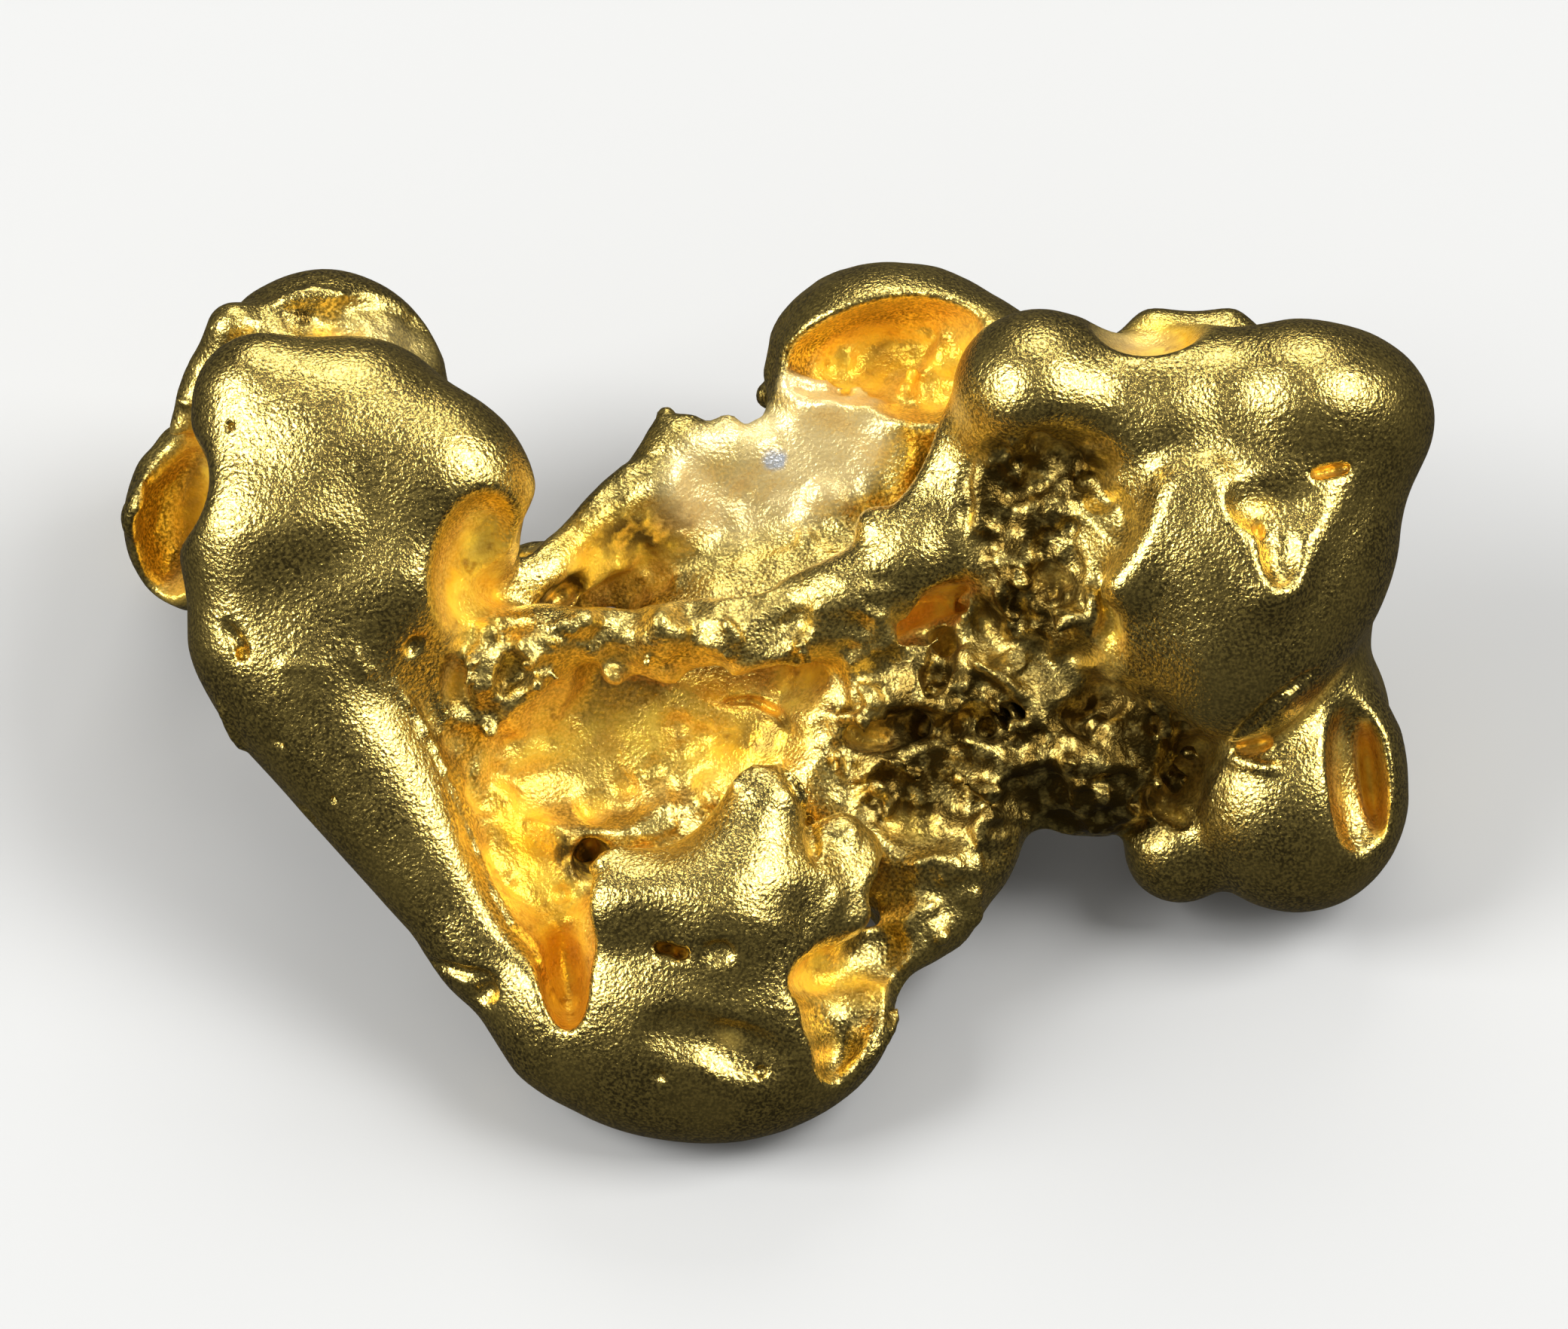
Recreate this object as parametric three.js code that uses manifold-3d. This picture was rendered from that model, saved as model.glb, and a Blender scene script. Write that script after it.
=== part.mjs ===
// A water-worn gold nugget, in millimetres, +Z up, origin in the middle of its footprint.
//
// Gold that has been rolled along a stream bed has no flat sides and no edges to measure from. Its
// shape is a heap of soft lumps that run into one another, with hollows and pockets between them.
// So the solid is written that way too. Every lump is an egg or a tapered bar, each one melts into
// its neighbours over a blend distance, and hollows are taken away with the same two shapes.
//
// Places are given on the nugget's face, its most open side: across (to the right), up the face, and
// out of the face. At rest the face looks up and forward, so the finished skin is tipped that way.

import * as THREE from "three";
import { mergeVertices } from "three/addons/utils/BufferGeometryUtils.js";
import Module from "manifold-3d";

// ---- driving dimensions -------------------------------------------------------------------------

const FACE_TIP = 35; // degrees that the face is tipped forward from looking straight up
const RESTING_LEVEL = -2.22; // height of the ground under the tipped face, where the feet are worn flat
const GROUND_SIZE = 20; // side of the block that wears the feet flat, wider than the nugget
const STEP = 0.27; // spacing of the points where the lump is sampled

const REACH_LOW = [-6.6, -4.5, -4.6]; // corner of the sampled space, clear of the nugget all round
const REACH_HIGH = [6.6, 4.6, 2.4];

// How far two lumps melt into each other.
const MELTED = 0.4;
const SOFT = 0.3;
const FIRM = 0.2;
const CRISP = 0.1;

const GOLD = { color: 0xd9a93c, roughness: 0.38, metalness: 1.0 };

// ---- the two shapes ------------------------------------------------------------------------------

// An egg: centre, half widths across, up and out, and a turn in the face in degrees.
function egg(centre, halves, blend, turn = 0) {
  const cos = Math.cos(THREE.MathUtils.degToRad(turn));
  const sin = Math.sin(THREE.MathUtils.degToRad(turn));
  const distance = (across, up, out) => {
    const dx = across - centre[0];
    const dy = up - centre[1];
    const x = cos * dx + sin * dy;
    const y = cos * dy - sin * dx;
    const z = out - centre[2];
    const scaled = Math.hypot(x / halves[0], y / halves[1], z / halves[2]);
    const slope = Math.hypot(x / halves[0] ** 2, y / halves[1] ** 2, z / halves[2] ** 2);
    return slope > 0 ? (scaled * (scaled - 1)) / slope : -Math.min(...halves);
  };
  return { distance, blend };
}

// A bar with round ends: its two end centres, and the radius at each.
function bar(from, to, fromRadius, toRadius, blend) {
  const start = new THREE.Vector3(...from);
  const along = new THREE.Vector3(...to).sub(start);
  const length2 = along.lengthSq();
  const offset = new THREE.Vector3();
  const distance = (across, up, out) => {
    offset.set(across, up, out).sub(start);
    const t = THREE.MathUtils.clamp(offset.dot(along) / length2, 0, 1);
    return offset.addScaledVector(along, -t).length() - THREE.MathUtils.lerp(fromRadius, toRadius, t);
  };
  return { distance, blend };
}

// ---- lumps ---------------------------------------------------------------------------------------

// The body that joins everything, mostly out of sight behind the bridge and the neck.
const CORE = [
  egg([0.9, 0.35, -1.25], [2.9, 1.15, 0.7], MELTED, 8), // behind the bridge and the neck
  egg([-1.3, -0.9, -0.7], [1.75, 1.4, 0.55], MELTED, -30), // floor of the middle hollow
  egg([-2.15, -1.45, -0.5], [0.8, 1.4, 0.5], SOFT, 20), // floor beside the arm
  egg([0.5, -0.7, -0.45], [0.7, 0.75, 0.5], SOFT), // floor at the right end of the hollow
  egg([3.9, 1.0, -0.9], [1.6, 1.6, 1.0], MELTED), // body of the right lobe
];

// A thin cup standing behind the left lobe, rim to the left, with one of the three feet under it.
const BACK_FLAP = [
  egg([-4.22, 2.3, -1.75], [1.33, 1.68, 1.1], SOFT, -8),
  bar([-4.95, 3.4, -1.2], [-5.79, 1.7, -1.8], 0.26, 0.22, FIRM), // the rim
  egg([-5.2, 1.75, -2.2], [0.8, 0.95, 0.85], FIRM, -22),
  egg([-4.95, 1.85, -3.2], [0.8, 0.8, 0.78], SOFT), // foot
];

// The wall behind the pale bowl, running up to the hollow lobe at the back.
const BACK_WALL = [
  egg([0.1, 1.7, -1.65], [1.9, 1.1, 0.55], SOFT, 24),
  bar([-3.0, 0.95, -0.45], [-2.2, 1.1, -0.85], 0.42, 0.36, SOFT), // root under the left lobe's nose
  bar([-2.2, 1.1, -0.85], [-0.75, 2.15, -1.45], 0.36, 0.46, SOFT),
  egg([-2.1, 0.9, -1.7], [0.7, 0.6, 0.4], SOFT),
  egg([-0.95, 2.35, -1.4], [0.3, 0.34, 0.3], FIRM), // small bump on the edge
];

const BACK_LOBE = [
  egg([1.1, 3.05, -1.95], [1.22, 1.03, 1.15], SOFT),
  egg([1.95, 2.92, -1.6], [0.92, 0.72, 0.9], SOFT, -22),
  egg([1.2, 2.3, -2.3], [1.2, 1.1, 0.8], SOFT),
];

// Two rounded ridges with a saddle between them, and a nose that overhangs on the right.
const LEFT_LOBE = [
  bar([-4.66, 2.72, 0.05], [-4.66, 1.55, 0.3], 0.64, 0.66, SOFT), // outer ridge
  bar([-4.66, 1.55, 0.3], [-4.64, 0.6, 0.24], 0.66, 0.66, SOFT),
  bar([-4.2, 2.4, 0.22], [-4.22, 1.6, 0.42], 0.6, 0.6, SOFT), // its inner shoulder
  egg([-3.85, 1.75, -0.05], [1.25, 1.6, 1.02], SOFT, -6), // saddle
  egg([-3.06, 2.02, 0.15], [0.96, 0.76, 0.85], SOFT, -28), // nose
  bar([-3.0, 2.15, 0.15], [-3.36, 1.1, 0.52], 0.58, 0.5, SOFT), // inner ridge
  egg([-3.9, 0.75, 0.08], [1.1, 0.9, 0.85], SOFT),
];

// A long arm tapering down from the left lobe to the bottom lobe.
const ARM = [
  bar([-4.18, 0.15, 0.14], [-2.62, -2.2, 0.28], 0.84, 0.44, SOFT),
  bar([-2.62, -2.2, 0.28], [-1.95, -2.95, 0.35], 0.44, 0.52, SOFT),
  egg([-2.95, -0.4, -0.25], [0.5, 0.65, 0.5], SOFT), // web between arm and bridge
];

const BOTTOM_LOBE = [
  egg([-0.7, -2.72, 0.38], [1.8, 1.28, 1.02], SOFT),
  egg([-0.75, -1.86, 0.68], [1.46, 0.62, 0.78], SOFT, 8), // broad upper body
  bar([-0.4, -1.9, 0.85], [-0.09, -0.95, 0.8], 0.7, 0.4, SOFT), // peak
  egg([-1.38, -1.78, 0.72], [0.46, 0.52, 0.5], SOFT, 20), // left shoulder
  bar([0.42, -1.85, 0.6], [0.64, -1.35, 0.5], 0.5, 0.36, FIRM), // right shoulder
  bar([0.85, -2.35, 0.25], [1.45, -1.95, -0.1], 0.34, 0.34, SOFT), // web to the neck
];

// A knobbly bridge from the left lobe up to the right lobe.
const BRIDGE = [
  bar([-3.1, 0.35, -0.1], [-2.3, 0.2, -0.1], 0.55, 0.62, SOFT),
  egg([-2.2, 0.22, 0.0], [0.52, 0.62, 0.6], FIRM),
  bar([-2.0, 0.5, 0.0], [-0.9, 0.5, 0.05], 0.36, 0.38, FIRM),
  bar([-0.9, 0.5, 0.05], [0.6, 0.8, 0.05], 0.4, 0.46, FIRM),
  bar([0.6, 0.8, 0.05], [1.25, 1.35, 0.05], 0.46, 0.42, SOFT),
  bar([1.25, 1.35, 0.05], [1.7, 2.3, 0.0], 0.42, 0.36, SOFT),
];

// The biggest lump, shaped like a back tooth: bulging corners above, three roots running down.
const RIGHT_LOBE = [
  egg([2.4, 2.78, 0.3], [0.8, 0.8, 0.95], SOFT, 20), // upper left corner
  egg([3.6, 2.55, 0.15], [1.2, 0.92, 0.98], MELTED),
  egg([4.85, 2.66, 0.3], [0.98, 0.82, 0.95], SOFT, -8), // upper right corner
  egg([5.25, 2.58, 0.1], [0.76, 0.72, 0.75], SOFT),
  egg([4.85, 1.6, 0.1], [0.86, 1.3, 0.95], MELTED, -6),
  egg([4.2, 1.1, 0.35], [1.05, 1.45, 1.05], MELTED),
  egg([3.3, 1.2, 0.1], [1.1, 1.1, 0.9], MELTED),
  egg([2.3, 1.7, -0.1], [0.8, 1.2, 0.85], SOFT),
  bar([3.2, 3.22, -0.4], [3.45, 3.38, -0.45], 0.16, 0.17, FIRM), // far rim of its cup
  bar([3.45, 3.38, -0.45], [4.15, 3.38, -0.45], 0.17, 0.17, FIRM),
  bar([4.15, 3.38, -0.45], [4.45, 3.2, -0.4], 0.17, 0.16, FIRM),
  egg([3.82, 3.02, -0.78], [0.75, 0.5, 0.5], SOFT), // what the rim stands on
  egg([3.82, 1.5, 0.54], [0.76, 0.82, 0.8], SOFT), // flat of the front, between the roots
  bar([3.66, 1.9, 1.14], [3.18, 1.08, 1.02], 0.15, 0.2, FIRM), // left root
  bar([3.92, 2.02, 1.16], [4.48, 1.0, 1.3], 0.14, 0.22, FIRM), // middle root
  bar([5.12, 2.05, 0.86], [4.62, 1.15, 1.2], 0.13, 0.19, FIRM), // right root
];

const NECK = [
  egg([1.75, -0.05, -0.4], [1.45, 1.0, 0.8], SOFT),
  egg([2.9, -0.3, -0.5], [0.95, 0.95, 0.85], SOFT),
  egg([1.4, -1.15, -0.35], [0.86, 1.0, 0.78], SOFT, -25),
];

const RIGHT_FOOT = [
  egg([4.76, -0.85, -0.7], [1.03, 1.08, 1.02], SOFT),
  egg([4.7, -0.2, -1.42], [0.95, 1.1, 1.02], SOFT),
  egg([3.72, -1.32, -0.8], [0.52, 0.52, 0.5], FIRM), // knob on its left
  bar([4.95, 0.5, -0.5], [5.0, -0.3, -0.6], 0.36, 0.66, SOFT), // ankle
];

const LUMPS = [
  ...CORE,
  ...BACK_FLAP,
  ...BACK_WALL,
  ...BACK_LOBE,
  ...LEFT_LOBE,
  ...ARM,
  ...BOTTOM_LOBE,
  ...BRIDGE,
  ...RIGHT_LOBE,
  ...NECK,
  ...RIGHT_FOOT,
];

// ---- hollows -------------------------------------------------------------------------------------

// The notch under the nose of the left lobe, and the slit between the bridge and the back wall.
const NOTCH = [
  egg([-5.48, 1.95, 0.2], [0.38, 0.5, 0.9], FIRM), // waist of the outer ridge
  egg([-2.62, 1.2, 0.95], [0.46, 0.7, 0.72], CRISP, -8),
  egg([-1.97, 1.83, 0.0], [0.16, 0.55, 1.6], CRISP, -38),
];

// The deep hollow in the middle, with a tail between the arm and the bottom lobe.
const MIDDLE_HOLLOW = [
  egg([-1.45, -0.45, 0.45], [1.3, 0.74, 0.85], FIRM, 14),
  egg([-2.2, -1.35, 0.7], [0.5, 1.3, 0.75], FIRM, 24),
  egg([-1.9, -2.35, 0.75], [0.24, 0.62, 0.85], CRISP, 6),
  egg([-0.3, -0.35, 0.25], [0.65, 0.42, 0.6], FIRM),
  egg([-1.36, -0.9, 0.5], [0.42, 0.27, 0.85], CRISP, 12), // cliff above the bottom lobe
  egg([-0.82, -0.62, 0.45], [0.4, 0.24, 0.85], CRISP, 36),
];

const BOWL = [
  egg([0.15, 2.05, -0.35], [1.55, 0.85, 0.9], FIRM, 25),
  egg([-1.15, 1.48, -0.25], [0.7, 0.42, 0.75], FIRM, 30),
];

const BACK_LOBE_HOLLOW = [
  egg([0.95, 3.22, -0.95], [0.95, 0.42, 0.9], CRISP, 14),
  egg([1.45, 2.95, -0.75], [0.6, 0.42, 0.85], CRISP, 10),
];

const FLAP_CUP = [
  bar([-5.1, 2.9, -0.95], [-5.5, 1.65, -1.3], 0.1, 0.32, CRISP),
  egg([-5.48, 1.62, -1.4], [0.36, 0.82, 0.95], CRISP, -14),
  egg([-4.2, 3.55, -0.75], [0.6, 0.26, 0.42], CRISP, -6), // dip in the top of the flap
];

const RIGHT_LOBE_HOLLOWS = [
  egg([3.4, 3.56, 0.55], [0.56, 0.46, 0.75], CRISP), // cup in the top
  egg([2.46, 2.0, 1.15], [0.66, 0.42, 0.5], SOFT, 14), // rough hollow on the left
  egg([2.85, 1.58, 1.27], [0.68, 0.4, 0.42], FIRM, 54),
  egg([2.35, 1.25, 1.05], [0.55, 0.5, 0.45], FIRM, 35),
  egg([4.56, 1.82, 1.4], [0.48, 0.32, 0.28], CRISP), // three-cornered dimple between the roots
  egg([4.57, 1.45, 1.46], [0.2, 0.4, 0.24], CRISP),
];

const BOTTOM_LOBE_HOLLOWS = [
  egg([0.68, -2.44, 1.1], [0.56, 0.3, 0.62], CRISP, 14), // three-cornered pocket on the right
  egg([0.7, -2.75, 1.15], [0.44, 0.5, 0.58], CRISP, -12),
  egg([0.62, -3.1, 1.05], [0.24, 0.4, 0.5], CRISP, -14),
  egg([1.0, -2.26, 0.68], [0.36, 0.2, 0.45], CRISP, 22),
  bar([-0.62, -2.6, 1.66], [0.02, -2.96, 1.5], 0.14, 0.17, CRISP), // crease
];

const FOOT_SLIT = [
  egg([5.33, -0.68, 0.1], [0.3, 0.76, 0.4], CRISP, 4),
  egg([5.44, -0.7, -0.1], [0.12, 0.5, 0.6], CRISP, 8),
];

const HOLLOWS = [
  ...NOTCH,
  ...MIDDLE_HOLLOW,
  ...BOWL,
  ...BACK_LOBE_HOLLOW,
  ...FLAP_CUP,
  ...RIGHT_LOBE_HOLLOWS,
  ...BOTTOM_LOBE_HOLLOWS,
  ...FOOT_SLIT,
];

// ---- distance to the nugget's skin ---------------------------------------------------------------

// The smaller of two distances, rounded off where they are closer together than the blend.
function melt(a, b, blend) {
  const overlap = Math.max(blend - Math.abs(a - b), 0);
  return Math.min(a, b) - (overlap * overlap) / (4 * blend);
}

// Below zero inside the gold, above zero outside.
function distanceToSkin(across, up, out) {
  let distance = Infinity;
  for (const lump of LUMPS) {
    distance = melt(distance, lump.distance(across, up, out), lump.blend);
  }
  for (const hollow of HOLLOWS) {
    distance = -melt(-distance, hollow.distance(across, up, out), hollow.blend);
  }
  return distance;
}

// ---- sampling ------------------------------------------------------------------------------------

const COUNTS = REACH_LOW.map((low, axis) => Math.ceil((REACH_HIGH[axis] - low) / STEP) + 1);
const STRIDES = [1, COUNTS[0], COUNTS[0] * COUNTS[1]];
const BARELY = 0.02 * STEP; // a sample moved to the other side of the skin lies this far from it

function sampleDistances() {
  const samples = new Float64Array(COUNTS[0] * COUNTS[1] * COUNTS[2]);
  let index = 0;
  for (let k = 0; k < COUNTS[2]; k++) {
    for (let j = 0; j < COUNTS[1]; j++) {
      for (let i = 0; i < COUNTS[0]; i++) {
        const place = [i, j, k].map((step, axis) => REACH_LOW[axis] + step * STEP);
        samples[index] = distanceToSkin(...place);
        index += 1;
      }
    }
  }
  return samples;
}

// Calls visit(index) for each cell, named by the sample at its lowest corner.
function eachCell(visit) {
  for (let k = 0; k < COUNTS[2] - 1; k++) {
    for (let j = 0; j < COUNTS[1] - 1; j++) {
      for (let i = 0; i < COUNTS[0] - 1; i++) {
        visit(i * STRIDES[0] + j * STRIDES[1] + k * STRIDES[2], i, j, k);
      }
    }
  }
}

// Where solid samples touch only across a diagonal, the skin would pinch to an edge or a point.
// Such a place is filled with gold, and the search is repeated until none is left.
function fillPinches(samples) {
  const solid = (index) => samples[index] < 0;
  let filled = 0;
  const fill = (...indices) => {
    for (const index of indices) {
      samples[index] = Math.min(samples[index], -BARELY);
    }
    filled += 1;
  };
  const checkSquare = (a, b, c, d) => {
    if (solid(a) === solid(c) && solid(b) === solid(d) && solid(a) !== solid(b)) {
      fill(a, b, c, d);
    }
  };
  const checkCube = (corners) => {
    for (let near = 0; near < 4; near++) {
      const pair = [corners[near], corners[7 - near]];
      const others = corners.filter((corner) => !pair.includes(corner));
      const apart = solid(pair[0]) === solid(pair[1]);
      if (apart && others.every((corner) => solid(corner) !== solid(pair[0]))) {
        fill(...corners);
      }
    }
  };
  do {
    filled = 0;
    eachCell((low) => {
      for (let axis = 0; axis < 3; axis++) {
        const right = STRIDES[(axis + 1) % 3];
        const above = STRIDES[(axis + 2) % 3];
        checkSquare(low, low + right, low + right + above, low + above);
      }
      const bits = [0, 1, 2, 3, 4, 5, 6, 7];
      checkCube(bits.map((bit) => low + (bit & 1) * STRIDES[0] + ((bit >> 1) & 1) * STRIDES[1]
        + (bit >> 2) * STRIDES[2]));
    });
  } while (filled > 0);
}

// ---- skin ----------------------------------------------------------------------------------------

// One vertex in each cell that the skin passes through, at the mean of its edge crossings, and one
// square, cut in two, across each edge between a solid sample and an empty one.
function skinOf(samples) {
  const vertexOfCell = new Map();
  const positions = [];
  eachCell((low, ...steps) => {
    const sum = new THREE.Vector3();
    let crossings = 0;
    for (let axis = 0; axis < 3; axis++) {
      const sides = [0, 1, 2].filter((other) => other !== axis);
      for (let corner = 0; corner < 4; corner++) {
        const shift = [0, 0, 0];
        shift[sides[0]] = corner & 1;
        shift[sides[1]] = corner >> 1;
        const start = low + shift[0] * STRIDES[0] + shift[1] * STRIDES[1] + shift[2] * STRIDES[2];
        const a = samples[start];
        const b = samples[start + STRIDES[axis]];
        if (a < 0 !== b < 0) {
          shift[axis] = a / (a - b);
          sum.add(new THREE.Vector3(...shift));
          crossings += 1;
        }
      }
    }
    if (crossings > 0) {
      vertexOfCell.set(low, positions.length / 3);
      sum.divideScalar(crossings);
      positions.push(...sum.toArray().map((part, axis) => REACH_LOW[axis] + (steps[axis] + part) * STEP));
    }
  });

  const triangles = [];
  eachCell((low) => {
    for (let axis = 0; axis < 3; axis++) {
      const startsSolid = samples[low] < 0;
      if (startsSolid === samples[low + STRIDES[axis]] < 0) {
        continue;
      }
      const back = STRIDES[(axis + 1) % 3];
      const down = STRIDES[(axis + 2) % 3];
      const ring = [low, low - back, low - back - down, low - down].map((cell) => vertexOfCell.get(cell));
      const [a, b, c, d] = startsSolid ? ring : ring.reverse();
      triangles.push(...shorterSplit(positions, a, b, c, d));
    }
  });
  return { positions, triangles };
}

// Cuts a square along its shorter diagonal.
function shorterSplit(positions, a, b, c, d) {
  const point = (vertex) => new THREE.Vector3().fromArray(positions, vertex * 3);
  const acrossIsShorter = point(a).distanceTo(point(c)) < point(b).distanceTo(point(d));
  return acrossIsShorter ? [a, b, c, a, c, d] : [b, c, d, b, d, a];
}

// ---- solid ---------------------------------------------------------------------------------------

const wasm = await Module();
wasm.setup();

function toSolid(geometry) {
  return new wasm.Manifold(
    new wasm.Mesh({
      numProp: 3,
      vertProperties: geometry.attributes.position.array,
      triVerts: new Uint32Array(geometry.index.array),
    }),
  );
}

function toGeometry(positions, triangles) {
  const geometry = new THREE.BufferGeometry();
  geometry.setAttribute("position", new THREE.Float32BufferAttribute(positions, 3));
  geometry.setIndex(Array.from(triangles));
  return geometry;
}

// The nugget's skin, turned from its face frame to where it rests.
function leaningSkin() {
  const samples = sampleDistances();
  fillPinches(samples);
  const { positions, triangles } = skinOf(samples);
  return toGeometry(positions, triangles).rotateX(THREE.MathUtils.degToRad(FACE_TIP));
}

// Everything below the resting level, to be worn away.
function groundBlock() {
  const block = new THREE.BoxGeometry(GROUND_SIZE, GROUND_SIZE, GROUND_SIZE);
  block.deleteAttribute("normal");
  block.deleteAttribute("uv");
  block.translate(0, 0, RESTING_LEVEL - GROUND_SIZE / 2);
  return mergeVertices(block);
}

function makeNugget() {
  const worn = toSolid(leaningSkin()).subtract(toSolid(groundBlock())).getMesh();
  const geometry = toGeometry(worn.vertProperties, worn.triVerts);
  geometry.computeBoundingBox();
  const middle = geometry.boundingBox.getCenter(new THREE.Vector3());
  geometry.translate(-middle.x, -middle.y, -RESTING_LEVEL);
  geometry.computeVertexNormals();
  const nugget = new THREE.Mesh(geometry, new THREE.MeshStandardMaterial(GOLD));
  nugget.name = "nugget";
  return nugget;
}

const part = new THREE.Group();
part.name = "gold_nugget";
part.add(makeNugget());

export default part;
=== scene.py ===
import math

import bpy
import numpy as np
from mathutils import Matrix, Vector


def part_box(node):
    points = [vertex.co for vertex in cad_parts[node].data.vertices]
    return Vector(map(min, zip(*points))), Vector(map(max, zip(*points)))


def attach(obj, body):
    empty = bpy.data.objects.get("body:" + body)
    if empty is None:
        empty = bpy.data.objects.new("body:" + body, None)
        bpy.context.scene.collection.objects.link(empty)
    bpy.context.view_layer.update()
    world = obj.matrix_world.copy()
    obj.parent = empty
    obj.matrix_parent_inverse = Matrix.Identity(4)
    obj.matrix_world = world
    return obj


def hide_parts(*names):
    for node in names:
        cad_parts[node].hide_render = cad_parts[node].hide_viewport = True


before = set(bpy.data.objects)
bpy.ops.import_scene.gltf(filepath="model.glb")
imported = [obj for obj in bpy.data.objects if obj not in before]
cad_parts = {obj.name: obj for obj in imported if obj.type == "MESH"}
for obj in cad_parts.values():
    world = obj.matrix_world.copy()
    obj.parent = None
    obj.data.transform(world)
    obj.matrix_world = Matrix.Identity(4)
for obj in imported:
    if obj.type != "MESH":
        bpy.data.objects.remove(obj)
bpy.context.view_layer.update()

# %% [markdown]
# # A water-worn gold nugget
# The object is one lump of natural gold, about as long as a fingernail is wide. It has a smooth lobe
# and a long arm on the left, a deep hollow in the middle, a knobbly bridge above it, a pale bowl
# behind, and a big lobe like a back tooth on the right. Nothing on it is flat or straight, so it
# can't be built from cubes and edge loops. It could be sculpted by hand, but then nobody could read
# how it was made. Instead the gold is described as a field of distances, which is filled with lumps
# and carved with hollows, and a skin is stretched over it at the end.

MM = 0.001  # the lumps are measured in millimetres, Blender works in metres

# %% [markdown]
# ## The face frame
# A nugget has no natural axes. The easiest way to place its lumps is to look straight at its most
# open side, its face, and to measure across, up, and out of the face. At rest the face is tipped,
# looking up and forward. Every point is placed on the upright face first and tipped once at the end,
# so that the numbers stay easy to picture.

# %% From the face to the resting pose
FACE_TIP = math.radians(35)  # how far the face is tipped forward from looking straight up
RESTING_LEVEL = -2.22  # height of the ground under the tipped face, in mm
TIP = np.array([
    [1, 0, 0],
    [0, math.cos(FACE_TIP), -math.sin(FACE_TIP)],
    [0, math.sin(FACE_TIP), math.cos(FACE_TIP)],
])


def tipped(places):
    """Turns face places into the resting pose."""
    return places @ TIP.T


print("the face looks up at", round(90 - math.degrees(FACE_TIP)), "degrees above the horizon")

# %% [markdown]
# ## The field
# The gold is a block of numbers, one every few hundredths of a millimetre. Each number says how far
# that spot is from the skin: below zero in the gold, above zero outside it. A finer step gives finer
# pits and beads, but eight times the numbers for half the step, so it is the main price of detail.

# %% An empty field
STEP = 0.037  # from one number to the next, in mm
LOW = np.array([-6.4, -4.3, -4.4])  # the block's corners: across, up and out, in mm
HIGH = np.array([6.4, 4.4, 2.1])
counts = np.ceil((HIGH - LOW) / STEP).astype(int) + 1
across_at, up_at, out_at = (
    (low + STEP * np.arange(count)).astype(np.float32) for low, count in zip(LOW, counts)
)
FAR = 1.0  # what a spot with no gold near it says, in mm
field = np.full(counts, FAR, np.float32)


def block(centre, reach):
    """The part of the field within reach of a place, and its three axes, ready to broadcast."""
    first = np.clip(np.floor((np.array(centre) - reach - LOW) / STEP).astype(int), 0, counts - 1)
    last = np.clip(np.ceil((np.array(centre) + reach - LOW) / STEP).astype(int) + 1, 1, counts)
    part = tuple(slice(a, b) for a, b in zip(first, last))
    across = across_at[part[0]][:, None, None]
    up = up_at[part[1]][None, :, None]
    out = out_at[part[2]][None, None, :]
    return part, across, up, out


print("the field holds", field.size, "numbers")

# %% [markdown]
# ## Two shapes
# Worn gold needs only two shapes: an egg, which can be long, flat or turned, and a bar with round
# ends, which can taper. An egg's exact distance is hard to work out, so the usual shortcut is used,
# which is true at the skin and close to true near it.

# %% Egg and bar
def egg(centre, halves, turn=0.0):
    """An egg by its centre and half widths across, up and out, turned in the face in degrees."""
    cos, sin = math.cos(math.radians(turn)), math.sin(math.radians(turn))
    a, b, c = halves
    reach = np.array([math.hypot(cos * a, sin * b), math.hypot(sin * a, cos * b), c])

    def distance(across, up, out):
        x = cos * (across - centre[0]) + sin * (up - centre[1])
        y = cos * (up - centre[1]) - sin * (across - centre[0])
        z = out - centre[2]
        scaled = np.sqrt((x / a) ** 2 + (y / b) ** 2 + (z / c) ** 2)
        slope = np.sqrt((x / a**2) ** 2 + (y / b**2) ** 2 + (z / c**2) ** 2) + 1e-9
        return scaled * (scaled - 1) / slope

    return centre, reach, distance


def bar(start, end, start_radius, end_radius):
    """A bar with round ends, by its two end centres and the radius at each."""
    start, end = np.array(start, float), np.array(end, float)
    along = end - start
    length2 = float(along @ along)
    reach = np.abs(along) / 2 + max(start_radius, end_radius)

    def distance(across, up, out):
        x, y, z = across - start[0], up - start[1], out - start[2]
        t = np.clip((x * along[0] + y * along[1] + z * along[2]) / length2, 0, 1)
        radius = start_radius + t * (end_radius - start_radius)
        return np.sqrt((x - t * along[0]) ** 2 + (y - t * along[1]) ** 2 + (z - t * along[2]) ** 2) - radius

    return (start + end) / 2, reach, distance


past_the_tip = egg([0, 0, 0], [2, 1, 1])[2](3.0, 0.0, 0.0)
print("one mm past its tip, a long egg says", round(float(past_the_tip), 2), "mm")

# %% [markdown]
# ## Melting and carving
# If two lumps are simply joined, a sharp line is left where they meet. Gold that has been rolled by
# a stream has none, so each lump melts into the others: where two distances are closer together than
# the blend, the smaller one is rounded off a little further. Carving is the same sum turned round.

# %% Melt and carve
MELTED, SOFT, FIRM, CRISP = 0.4, 0.3, 0.2, 0.1  # how far two lumps melt into each other, in mm
MARGIN = 0.3  # how far past the blend the field is worked out, in mm


def melt(a, b, blend):
    """The smaller of two distances, rounded off where they are close together."""
    overlap = np.maximum(blend - np.abs(a - b), 0)
    return np.minimum(a, b) - overlap * overlap / (4 * blend)


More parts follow.
